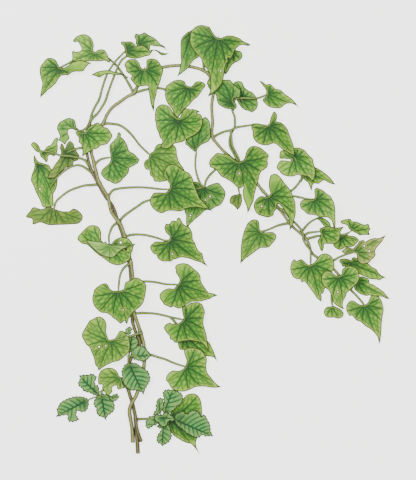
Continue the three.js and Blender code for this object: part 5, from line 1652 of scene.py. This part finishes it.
            Blade((4.6, 3.6, 4.6), """
        162,410 163.5,403 163.5,399 163,395 162.5,392.5 164.5,390 168.5,389 *173,389.6 177.5,391
        181,392.5 183,396 183,401 181.5,404 177.5,406.5 175.5,409 171.5,412 166,415.5""",
            base="163.5,414", droop=0.4),
            Blade((4.6, 4, 4.6), """
        156,416 153,414 154,411.5 156,409 155.5,406 156,404 157,400 *158.8,398.1 161.5,397.5
        163.5,400.5 164,408""", base="160,415", droop=0.2),
            Blade((4.6, 3.6, 4.6), """
        157.5,416.5 154,415.5 149.5,416 147,418.5 145.5,422 146,427 *148.5,429.1 151,427.5
        153,426 156.5,425 160,421.5""", base="159,419", droop=0.2),
            Blade((4.6, 3, 4.6), """
        160,423 157,426 158.5,428 161,429 160.5,430.5 159,432.5 157,436 156.5,439 157.5,442.5
        160.5,444 *162.3,446.2 165.5,444 168.5,442.5 171,439 172,435.5 171.5,431.5 170,426
        167.5,422.5""", base="163.5,422", droop=0.2),
            Blade((4.8, 3, 4.8), """
        174.5,415.5 177.5,412.5 181.5,411 185,410.5 185.5,413 187,413.5 189.5,411 191.5,410
        195.5,410 198.5,411.5 200.5,414 201,416 203.5,414 206,416 207.5,419 209.5,422.5
        210.5,426 211,431 *213.7,436.5 210,436 205.5,436.5 202,435 200,437 197,438 194.5,437.5
        190,435.5 185.5,432.5 181.5,429 177.5,426 174.5,421.5""", base="173,418.5", droop=0.6),
            Blade((5.9, 5.3, 5.3), """
        154.5,415 157.5,413.5 161,414.8 165,411.5 168.5,412.5 173.5,416.5 *176.5,418.8
        172.5,421.5 169,421 167.5,425.5 163.5,427 160,425.5 158,422.5 155,421""",
            base="161.5,417.6", droop=0.1),
        ),
        side_stalks=(
            "162.5,418,4.6 173,418.5,4.8 178,419,4.8",
            "162.5,418,4.6 164.5,412,4.6 165,407,4.6",
            "162.5,418,4.6 159.5,412,4.6",
            "162.5,418,4.6 164,426,4.6",
            "162.5,418,4.6 156,421,4.6",
        ),
        kind=Kind.TOOTHED,
        slot="leaflet_blue",
    ),
    Leaf("leaf_base_heart", Tint.FRESH, stalk="""
        148,418.8,2.9 151,420,1.6 158,420.5,1.4 166,419.5,1.3 171,419,1.2""",
        blades=(Blade((1.2, 0.6, 1.2), """
        174,408 179,402.5 183,398.5 186.5,395 190.5,393.5 194.5,393.5 198.5,396 201,401 202,408
        202,416 201,426 198,436 196,444 *199.8,454.5 195,448 191,444 187,443 183,441.5 178,438.5
        173.5,435.5 170.5,431 167,425 167,419""", droop=0),),
    ),
    Leaf("leaf_right_top", Tint.DEEP, stalk="""
        240,165.3,2.3 236.6,158.6,1.8 233,152,1.6 230.3,147,1.6 229.6,142,1.6 230.3,136.4,1.6
        232.4,131.5,1.6 234.5,127.3,1.8 234.9,122.3,2.4 234.5,116.7,3.4 232.4,111,5
        232.3,102.5,6.8""",
        blades=(Blade((7, 6.4, 7), """
        233.5,100.5 235,98 239.5,98 240.5,94.5 240.5,90 237.5,87.5 234.5,85 232,82 230,80
        225.5,80 221,79.5 215,78.5 209.5,78.5 207.5,80.5 *206.7,83.4 208,87 210,90 212,92
        214.5,94 216,96 216.5,99.5 218,104 221,106.5 226.5,109 231.5,109.5 234,110 236.5,108
        237,105.5 235.5,103""", droop=0.4),),
    ),
    Leaf("leaf_pair_right_top", Tint.BRIGHT, stalk="""
        232.4,110.8,5 233.5,106,4.3 234.5,100,4.3 242,98.2,4.3 250,98.4,4.3 258,98.2,4.4
        267.5,94.3,4.5""",
        blades=(
            Blade((4.5, 1, 4.5), """
        266,91 262.5,85.5 259.3,80.9 262.5,82 266,84.5 270,84 272.5,86 275,88.5 280.5,90 285,94
        289.5,97 294,101 *298.7,106.9 294,104.5 289,103.5 285.5,104.5 280.5,108 275,108.5
        269,107 265,104 262.5,100.5 263.5,98 265,97"""),
            Blade((1.5, 1.2, 1.5), """
        237,101 240.5,106.5 244.5,110 248,111 *252,112.7 256.5,109 258,104 257,99 254.5,94.5
        252,92 247.5,90 244.5,87 242,82 238,81 234.5,82 233,86 234,92""",
            base="241,99", droop=0.2, tint=Tint.DEEP),
        ),
        side_stalks=(
            "240,98.3,4.3 241.5,100,2.6 243,101.5,1.6",
        ),
    ),
    Leaf("leaf_right_upper", Tint.FRESH, stalk="""
        213,138,2.3 216,135.5,2.8 220,133.5,3.4 225,131.5,4.2 230,130.5,4.8 236,127.8,5.4
        243,126.5,6.4 250,125.5,7.6 256,124.5,8.6 262,125.5,9.4 268.5,126.2,10""",
        blades=(Blade((10, 8, 10), """
        265,126 261,125 256.5,123.5 253,124.5 251,127.5 252.5,132 252.5,136.5 254.5,140.5
        258.5,144 263.5,145.5 268,145.5 272,144 275,144 279,147 282.5,150 286,152 291,155
        *294.5,156.5 294.5,154 294,147.5 292,141.5 289.5,135 287.5,129.5 284,125 280.5,122.5
        276.5,121.5 277,118 276.5,114 274,111.7 272,114.5 270,119.5 269,123.5"""),),
    ),
    Leaf("leaf_right_middle", Tint.BRIGHT, stalk="""
        270.5,199.6,2.3 280,195,3 291,191,3.4 298,184,3.6 301.5,177,3.6 299,168,4.2
        294.5,157.8,5.4""",
        blades=(Blade((5.5, 4, 5.5), """
        290.5,159.8 285,159 279.5,158.5 279.5,153.5 281,150.5 285,150.5 289,149.5 294,148
        297.5,147.5 301.5,148.5 305,150.5 308.5,155 312.5,158.5 313.5,163 315,168 315.5,173
        314.5,178 *312,181.8 308.5,177.5 306,176.5 301.5,176 297.5,175 293,176.5 287.5,176.5
        282,174.5 279,171 276.5,168 277.5,164 280.5,160.5 285,160.5 290.5,161"""),),
    ),
    Leaf("leaf_right_tip", Tint.FRESH, stalk="300,181.5,3.6 302.5,178,2.6 306,172,2.1",
        blades=(Blade((2, 0.8, 2), """
        308,168 313,166.5 319,169 325,173 331,178.5 *335.4,184.7 331.5,184 328,182.5 324,180.5
        321,182 318,184 314,183.5 312.5,186 311.5,191 310,188 308,183 304,179.5 303.5,176"""),),
    ),
    Leaf("leaf_vine_large", Tint.FRESH, stalk="""
        231,130.5,4.9 231.2,138,5 232.5,146,6 236,153,7.2 240,161.3,8.2""",
        blades=(Blade((8.4, 4.5, 8.4), """
        237.5,161.5 234,159 230.5,156 226,154 222,153.5 217,153 214,155.5 210.5,159 209,162.5
        210,167 212.5,168.5 216,170 218.5,173.5 221,176.5 226,179 231,182 235,185.5 238.5,188
        241.5,188 243.5,186.5 242.5,191.5 243,196.5 244.5,201.5 246.5,206.5 *247.4,213.1
        249.5,210 251.5,205 253.5,201 254.5,195 256,189.5 257,185.5 258.5,180.5 259.5,176
        261,172 264.5,169.5 267,167.5 268,163.5 267.5,160.5 268,158 269,155.5 267,153.5
        263.5,150 259,147 254.5,146 250,147 247.5,149.5 245.5,153.5 244.5,158 242,160.5""",
            holes=("239.2,173.5,0.8",)),),
    ),
    Leaf("leaf_vine_olive", Tint.OLIVE, stalk="""
        247,171.3,2.3 241,180,2.3 238.5,187,2.4 239.3,193,2.5""",
        blades=(Blade((2.6, 1, 2.6), """
        236,194.5 231.5,196 229.5,199.5 230,203 234,206 *237.5,210 240.5,206.5 242,201.5 242,198
        241,194"""),),
    ),
    Leaf("leaf_vine_spotted", Tint.FRESH, stalk="262.5,190.6,2.3 265,193,5.5 268.5,196.5,10",
        blades=(Blade((10.5, 10.5, 10.5), """
        270,193.5 269,189.5 268.5,185.5 269,179.5 270.5,175.5 273.5,174 277,174.5 280.5,177.5
        284,182.5 287.5,186.5 291,191 293,197 295,202 295.5,206.5 295.5,213.5 294.5,219
        292.5,225.5 *289.3,231.5 289.3,227.5 289,224 288.5,219 287.5,215.5 284.5,211.5 281,206.5
        277.5,204 276.5,209 274,212 273.5,215 271.5,216.5 267,217.5 263,216.5 258.5,215
        255,211.5 253.5,205.5 255,201 258,197.5 261.5,196 266.5,196.5""",
            droop=0.6, holes=("261.5,206.4,0.8",)),),
    ),
    Leaf("leaf_vine_hanging", Tint.YOUNG, stalk="""
        289.3,223,2.3 284,224,2.6 278,225.5,3.2 272,228,4 266,230.5,4.6 260.5,231.5,4.9""",
        blades=(Blade((5, 1, 5), """
        260,229.5 259.5,225.5 258.5,221 256,219.5 252.5,219.5 248,222.5 245.5,227 244,230.5
        242,238 241,244 240.5,252.5 240.5,259.5 *239.9,264 242,262 245,259 249.5,256 256,251
        261,248 265,248 268.5,247.5 272,244 275.5,239.5 276.5,236 275.5,234 273,232 268.5,232
        263.5,232"""),),
    ),
    Leaf("leaf_far_right_upper", Tint.BRIGHT, stalk="""
        274.5,203.9,2.3 283,201,4 292.5,196.5,5.4 297,196.8,7 302,198,9 308,199.3,10.8
        314.5,199.5,11.8""",
        blades=(Blade((12, 18.5, 11), """
        314.5,197 314,193 314,190 316,188 320,189 324,191.5 327,194 330,196 333,201 334.5,205.5
        335,211.5 335,219 335,225.5 *333.8,230.8 332.5,226 331,221 327.5,218 324,217.5 319,217.5
        315.5,215.5 311.5,215 307.5,214.5 304,211.5 301,209 299.5,204 301.5,200.5 307,199
        311.5,199.5""", droop=1),),
    ),
    Leaf("leaf_far_right_inner", Tint.DEEP, stalk="""
        300.5,233.2,2.3 304.5,228,3.2 307.5,224.5,5 311,221.5,7 317.5,218,9.4""",
        blades=(Blade((9.5, 9, 9.5), """
        316,218 321,217.5 326,219.5 330,223.5 *331,228 326,227.5 322.5,225 319.5,221 317,219.5""",
            droop=0.4),),
    ),
    Leaf("leaf_far_right_heart", Tint.FRESH, stalk="""
        303.3,235.8,2.3 308,233,5 313,232.2,10 320,231.5,15.2""",
        blades=(Blade((15.5, 14.5, 15.5), """
        319,229 322.5,227 327.5,226.5 333.5,227 337.5,227.5 343,227 340.5,231 340,236 338.5,241
        334,244 330,244 326.5,244 324,244 323.5,247.5 *322,252 320,250 318.5,246 317,241.5
        318.5,238.5 320,235""", droop=0.6),),
    ),
    Leaf("leaf_far_right_dark", Tint.FRESH, stalk="""
        306,239.2,2.3 312,237.5,4 318,236,6 330,236,9 341,236,10.4""",
        blades=(Blade((10.5, 9.8, 10.5), """
        343.5,234.5 350,235.5 355,236.5 *359,240 355,245 351.5,247 346.5,247 342.5,249 340,250
        336.5,249 334,247 332.5,244.5 333,241 336,238""", droop=0.6),),
    ),
    Leaf("leaf_far_right_small", Tint.FRESH, stalk="""
        336,236,10 340,235,12.2 345,234.3,12.9 350,231.5,13""",
        blades=(Blade((13, 11, 13), """
        348.5,229 347,226 344,224.5 341,223.5 340,221.5 341,220.5 344,219.5 347,219 350,218.8
        351.5,221 355.5,221.5 358.5,222.5 361.5,224 364.5,224.5 367.5,223.8 369,225.5 369,227.5
        *370.6,228.7 369,230.5 368.5,232.5 369.5,235 366,235 362.5,235 359,235.5 357,234
        354,232.5""", droop=0.6),),
    ),
    Leaf("leaf_far_right_yellow", Tint.YELLOWING, stalk="""
        326,263.5,2.3 334.2,260,4.4 338.3,257.5,5.8 343.3,255.4,6.8 349.2,253.3,7.4
        354.5,252.2,7.6""",
        blades=(Blade((7.6, 5, 7.6), """
        351.5,253 346.5,254.3 343.5,253.3 341.3,251.3 344,249 346.5,247 350,247.5 352.5,248.3
        354,247 357,244 359,241 361.5,240 363.5,240 365,241.5 367.5,240 370,239 374,238
        378.5,238 382.5,236.5 *386.3,234.6 384,238 382,241.5 379,245 376,248.5 375,251.5
        375.5,254.5 374,257.5 371.5,259.5 369,262.5 365,264 361,264 358,261.5 356.5,257.5
        356,254""", droop=0.6, holes=("364,246,0.9", "369,251,0.8",)),),
    ),
    Leaf("leaf_far_right_under", Tint.FRESH, stalk="""
        343.3,281.6,2.3 345.3,276,2.8 347,270,3.8 349,262.5,4.8""",
        blades=(Blade((5, 2.4, 5), """
        342.5,267 341,264 339,261.5 339,260 340,259 344,258.3 348.5,259 351,260 351.5,258
        354,257 357,258 363,260 369,264 371.5,266.5 376,269 378.5,272.5 381,275 384,276.5
        *386.7,278.2 383.5,278 380,280 376,279.5 370,279 365,276.5 361.5,275.5 359,274 352,270
        345,266.5""", droop=0.5),),
    ),
    Leaf("leaf_lowest_right", Tint.BRIGHT, stalk="""
        344.6,283.4,2.3 350.8,290,2.6 355,294.2,3.4 359.2,298.8,4.4 364.2,305,4.9""",
        blades=(Blade((5, 1, 5.6), """
        362,304.5 359,304 356.5,302.5 353.5,300.5 350.5,300.5 347.5,303 346,306.5 346.5,311
        348,314 349.5,316 351.5,315.5 354,318 356.5,320.5 360.5,322 365,326 370,329 374,332.5
        377,336.5 *379.4,344.8 380.5,339 381.3,331.5 381.7,324 382.5,316.5 383.6,310 382.5,304
        381.3,300 378.5,296.5 375,295.4 371.7,295.4 369.5,297.5 368.3,301 366.5,303.5"""),),
    ),
    Leaf("leaf_bluish", Tint.BRIGHT, stalk="350.5,289.7,2.5 352.5,286,2 356,281,1.6",
        blades=(Blade((1.6, 0.8, 1.6), """
        354,283 357,277.5 359.5,276.5 362.5,276.3 366.5,277.5 369,279.5 370,283.5 372.5,284
        376.5,286.5 381.5,290 384.5,292.5 387.5,296.5 *390,298.8 386.5,298.8 382.5,297
        378.5,296.5 374,296.5 369.5,295.5 366,296 362.5,295 359,293.5 356,291 354,288.5
        353.5,285.5""", droop=0),),
    ),
    Leaf("leaf_over_vine", Tint.BRIGHT, stalk="""
        277.5,207.3,2.3 281.5,209.5,5.4 285.5,212.5,6.3 290,218.5,6.3 295,223,6.3 300,228.5,6.3
        303,234,6.3 303,239,6.3 306.5,245.5,6.3 310,250,6.6 310.5,257,7.6 310.4,264.6,8.8""",
        blades=(Blade((9, 3, 8.5), """
        309,264.5 306.5,263.5 304,261 301,259 298,260 296.5,261 294.5,259 292,261 290.5,264.5
        290,268.5 291,273.5 293,277 296.5,279 300,279.5 301.5,282.5 304,281.5 306.5,284
        310.5,289.5 314,294 316.5,298 *321,301.8 321.7,299 321.7,296 321,294 323,293.5 324,291
        325.5,287 328,281 331,275 332,272 334,268.5 334.3,265 333.5,260.5 332,257 329,254.5
        325,253.2 321,254 318.5,256 316,259.5 313.5,262.5"""),),
    ),
    Leaf("leaf_lower_over", Tint.BRIGHT, stalk="341.5,279,2.3 340.5,278,7 338.8,276.7,12",
        blades=(Blade((12.5, 8, 12.5), """
        336.5,275.5 334,274 331,271.5 328,270.5 325,271 322.5,273 321,276.5 321,281 322.5,285
        325,288 328,290 330,293.5 331.5,297.5 334,303.5 338.5,307 341,308.3 *344,309.3 342.5,305
        343,301.5 345.5,296.5 346.5,293.5 350,289.5 352.5,287.5 356.5,284 358.8,280 359.2,276
        358.3,271 356,268 351.5,266 346.5,265.7 343.5,267.5 341.5,270 341,273.5 339.5,275""",
            holes=("337.5,292,0.8",)),),
    ),
    Leaf("leaf_small_lower", Tint.BRIGHT, stalk="""
        339.6,276.4,2.3 336.5,284,2.3 334,288,2.3 331.5,295,2.3 332.3,306,2.4""",
        blades=(Blade((2.4, 0.8, 2.4), """
        330,306.3 326.5,307 324,310 324,313.5 325.5,316.5 329,317.7 334,317.7 *338.3,318.8
        342,317.5 343.7,314 342.5,311 340.5,309 337.5,307.5 334,305.8"""),),
    ),
)


STEMS = (
    Stem("stem_light", ((LIGHT_ROUTE, 2.1, (1.5, 1.05)),)),
    Stem("stem_dark", ((DARK_ROUTE, 2.1, (1.5, 1.1)), (SHOOT_ROUTE, 2.0, (1.1, 1.4)))),
)


@dataclass(frozen=True)
class Lamp:
    """Soft square lamp that faces the middle of the vine.

    Args:
        name: Name of the lamp.
        place: Where it hangs, in metres.
        side: Length of its side in metres.
        power: Its power in watts.
    """

    name: str
    place: tuple[float, float, float]
    side: float
    power: float

    def build(self) -> None:
        """Makes the lamp."""
        light = bpy.data.lights.new(self.name, "AREA")
        light.size = self.side
        light.energy = self.power
        holder = bpy.data.objects.new(self.name, light)
        holder.location = self.place
        holder.rotation_euler = (-Vector(self.place)).to_track_quat("-Z", "Y").to_euler()
        bpy.context.scene.collection.objects.link(holder)


@dataclass
class Studio:
    """Pale floor, soft light and the camera straight above, as the vine is seen in the photo.

    Args:
        lens: Focal length of the camera in mm.
        sensor: Height of its sensor in mm.
        field_height: Height of the picture's field in metres.
        floor_side: Length of the floor's side in metres.
        floor_rough: Roughness of the floor.
        floor_glow: How strongly the floor glows.
        sky_glow: How strongly the sky glows.
        lamps: The lamps.
    """

    lens: float = 200.0
    sensor: float = 36.0
    field_height: float = 0.72
    floor_side: float = 4.0
    floor_rough: float = 0.9
    floor_glow: float = 2.1
    sky_glow: float = 0.85
    lamps: tuple[Lamp, ...] = (
        Lamp("window", (-0.9, 0.8, 1.3), side=1.1, power=26.0),
        Lamp("fill", (1.2, -0.5, 1.5), side=1.6, power=9.0),
    )

    def build(self) -> None:
        """Makes the floor, the sky, the lamps and the camera."""
        self.lay_floor()
        world = bpy.data.worlds.new("sky")
        world.use_nodes = True
        back = world.node_tree.nodes["Background"]
        back.inputs["Color"].default_value = WHITE
        back.inputs["Strength"].default_value = self.sky_glow
        bpy.context.scene.world = world
        for lamp in self.lamps:
            lamp.build()
        self.hang_camera()

    def lay_floor(self) -> None:
        """Makes the floor, which is no piece of the vine."""
        mesh = bpy.data.meshes.new("floor")
        half = self.floor_side / 2
        corners = [(-half, -half, 0), (half, -half, 0), (half, half, 0), (-half, half, 0)]
        mesh.from_pydata(corners, [], [(0, 1, 2, 3)])
        floor = bpy.data.objects.new("floor", mesh)
        bpy.context.scene.collection.objects.link(floor)
        # Matt card: rolled and uncoated, so it has no shine; it glows a little, so that it
        # comes out nearly as pale as the ground of the picture.
        card = bpy.data.materials.new("matt_card_white")
        card.use_nodes = True
        surface = card.node_tree.nodes["Principled BSDF"]
        surface.inputs["Base Color"].default_value = linear("#f7f6f2")
        surface.inputs["Roughness"].default_value = self.floor_rough
        surface.inputs["Emission Color"].default_value = WHITE
        surface.inputs["Emission Strength"].default_value = self.floor_glow
        mesh.materials.append(card)

    def hang_camera(self) -> None:
        """Hangs the camera straight above the middle of the picture."""
        camera = bpy.data.cameras.new("camera")
        camera.lens = self.lens
        camera.sensor_fit = "VERTICAL"
        camera.sensor_width = camera.sensor_height = self.sensor
        holder = bpy.data.objects.new("camera", camera)
        holder.location = (0.0, SQUARE / 2 * MM, self.field_height * self.lens / self.sensor)
        bpy.context.scene.collection.objects.link(holder)
        bpy.context.scene.camera = holder


def main() -> None:
    """Builds the studio, the stems and the leaves in order."""
    logging.basicConfig(level=logging.INFO, format="%(name)s: %(message)s")
    LOG.info("frame has %d nodes", len(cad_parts))
    Studio().build()
    leaf_skins = {tint: skin.make() for tint, skin in LEAF_SKINS.items()}
    stem_skins = {key: skin.make() for key, skin in STEM_SKINS.items()}
    for stem in STEMS:
        stem.build(stem_skins[stem.name])
    for leaf in LEAVES:
        leaf.build(leaf_skins, stem_skins["stalk"])


if __name__ == "__main__":
    main()
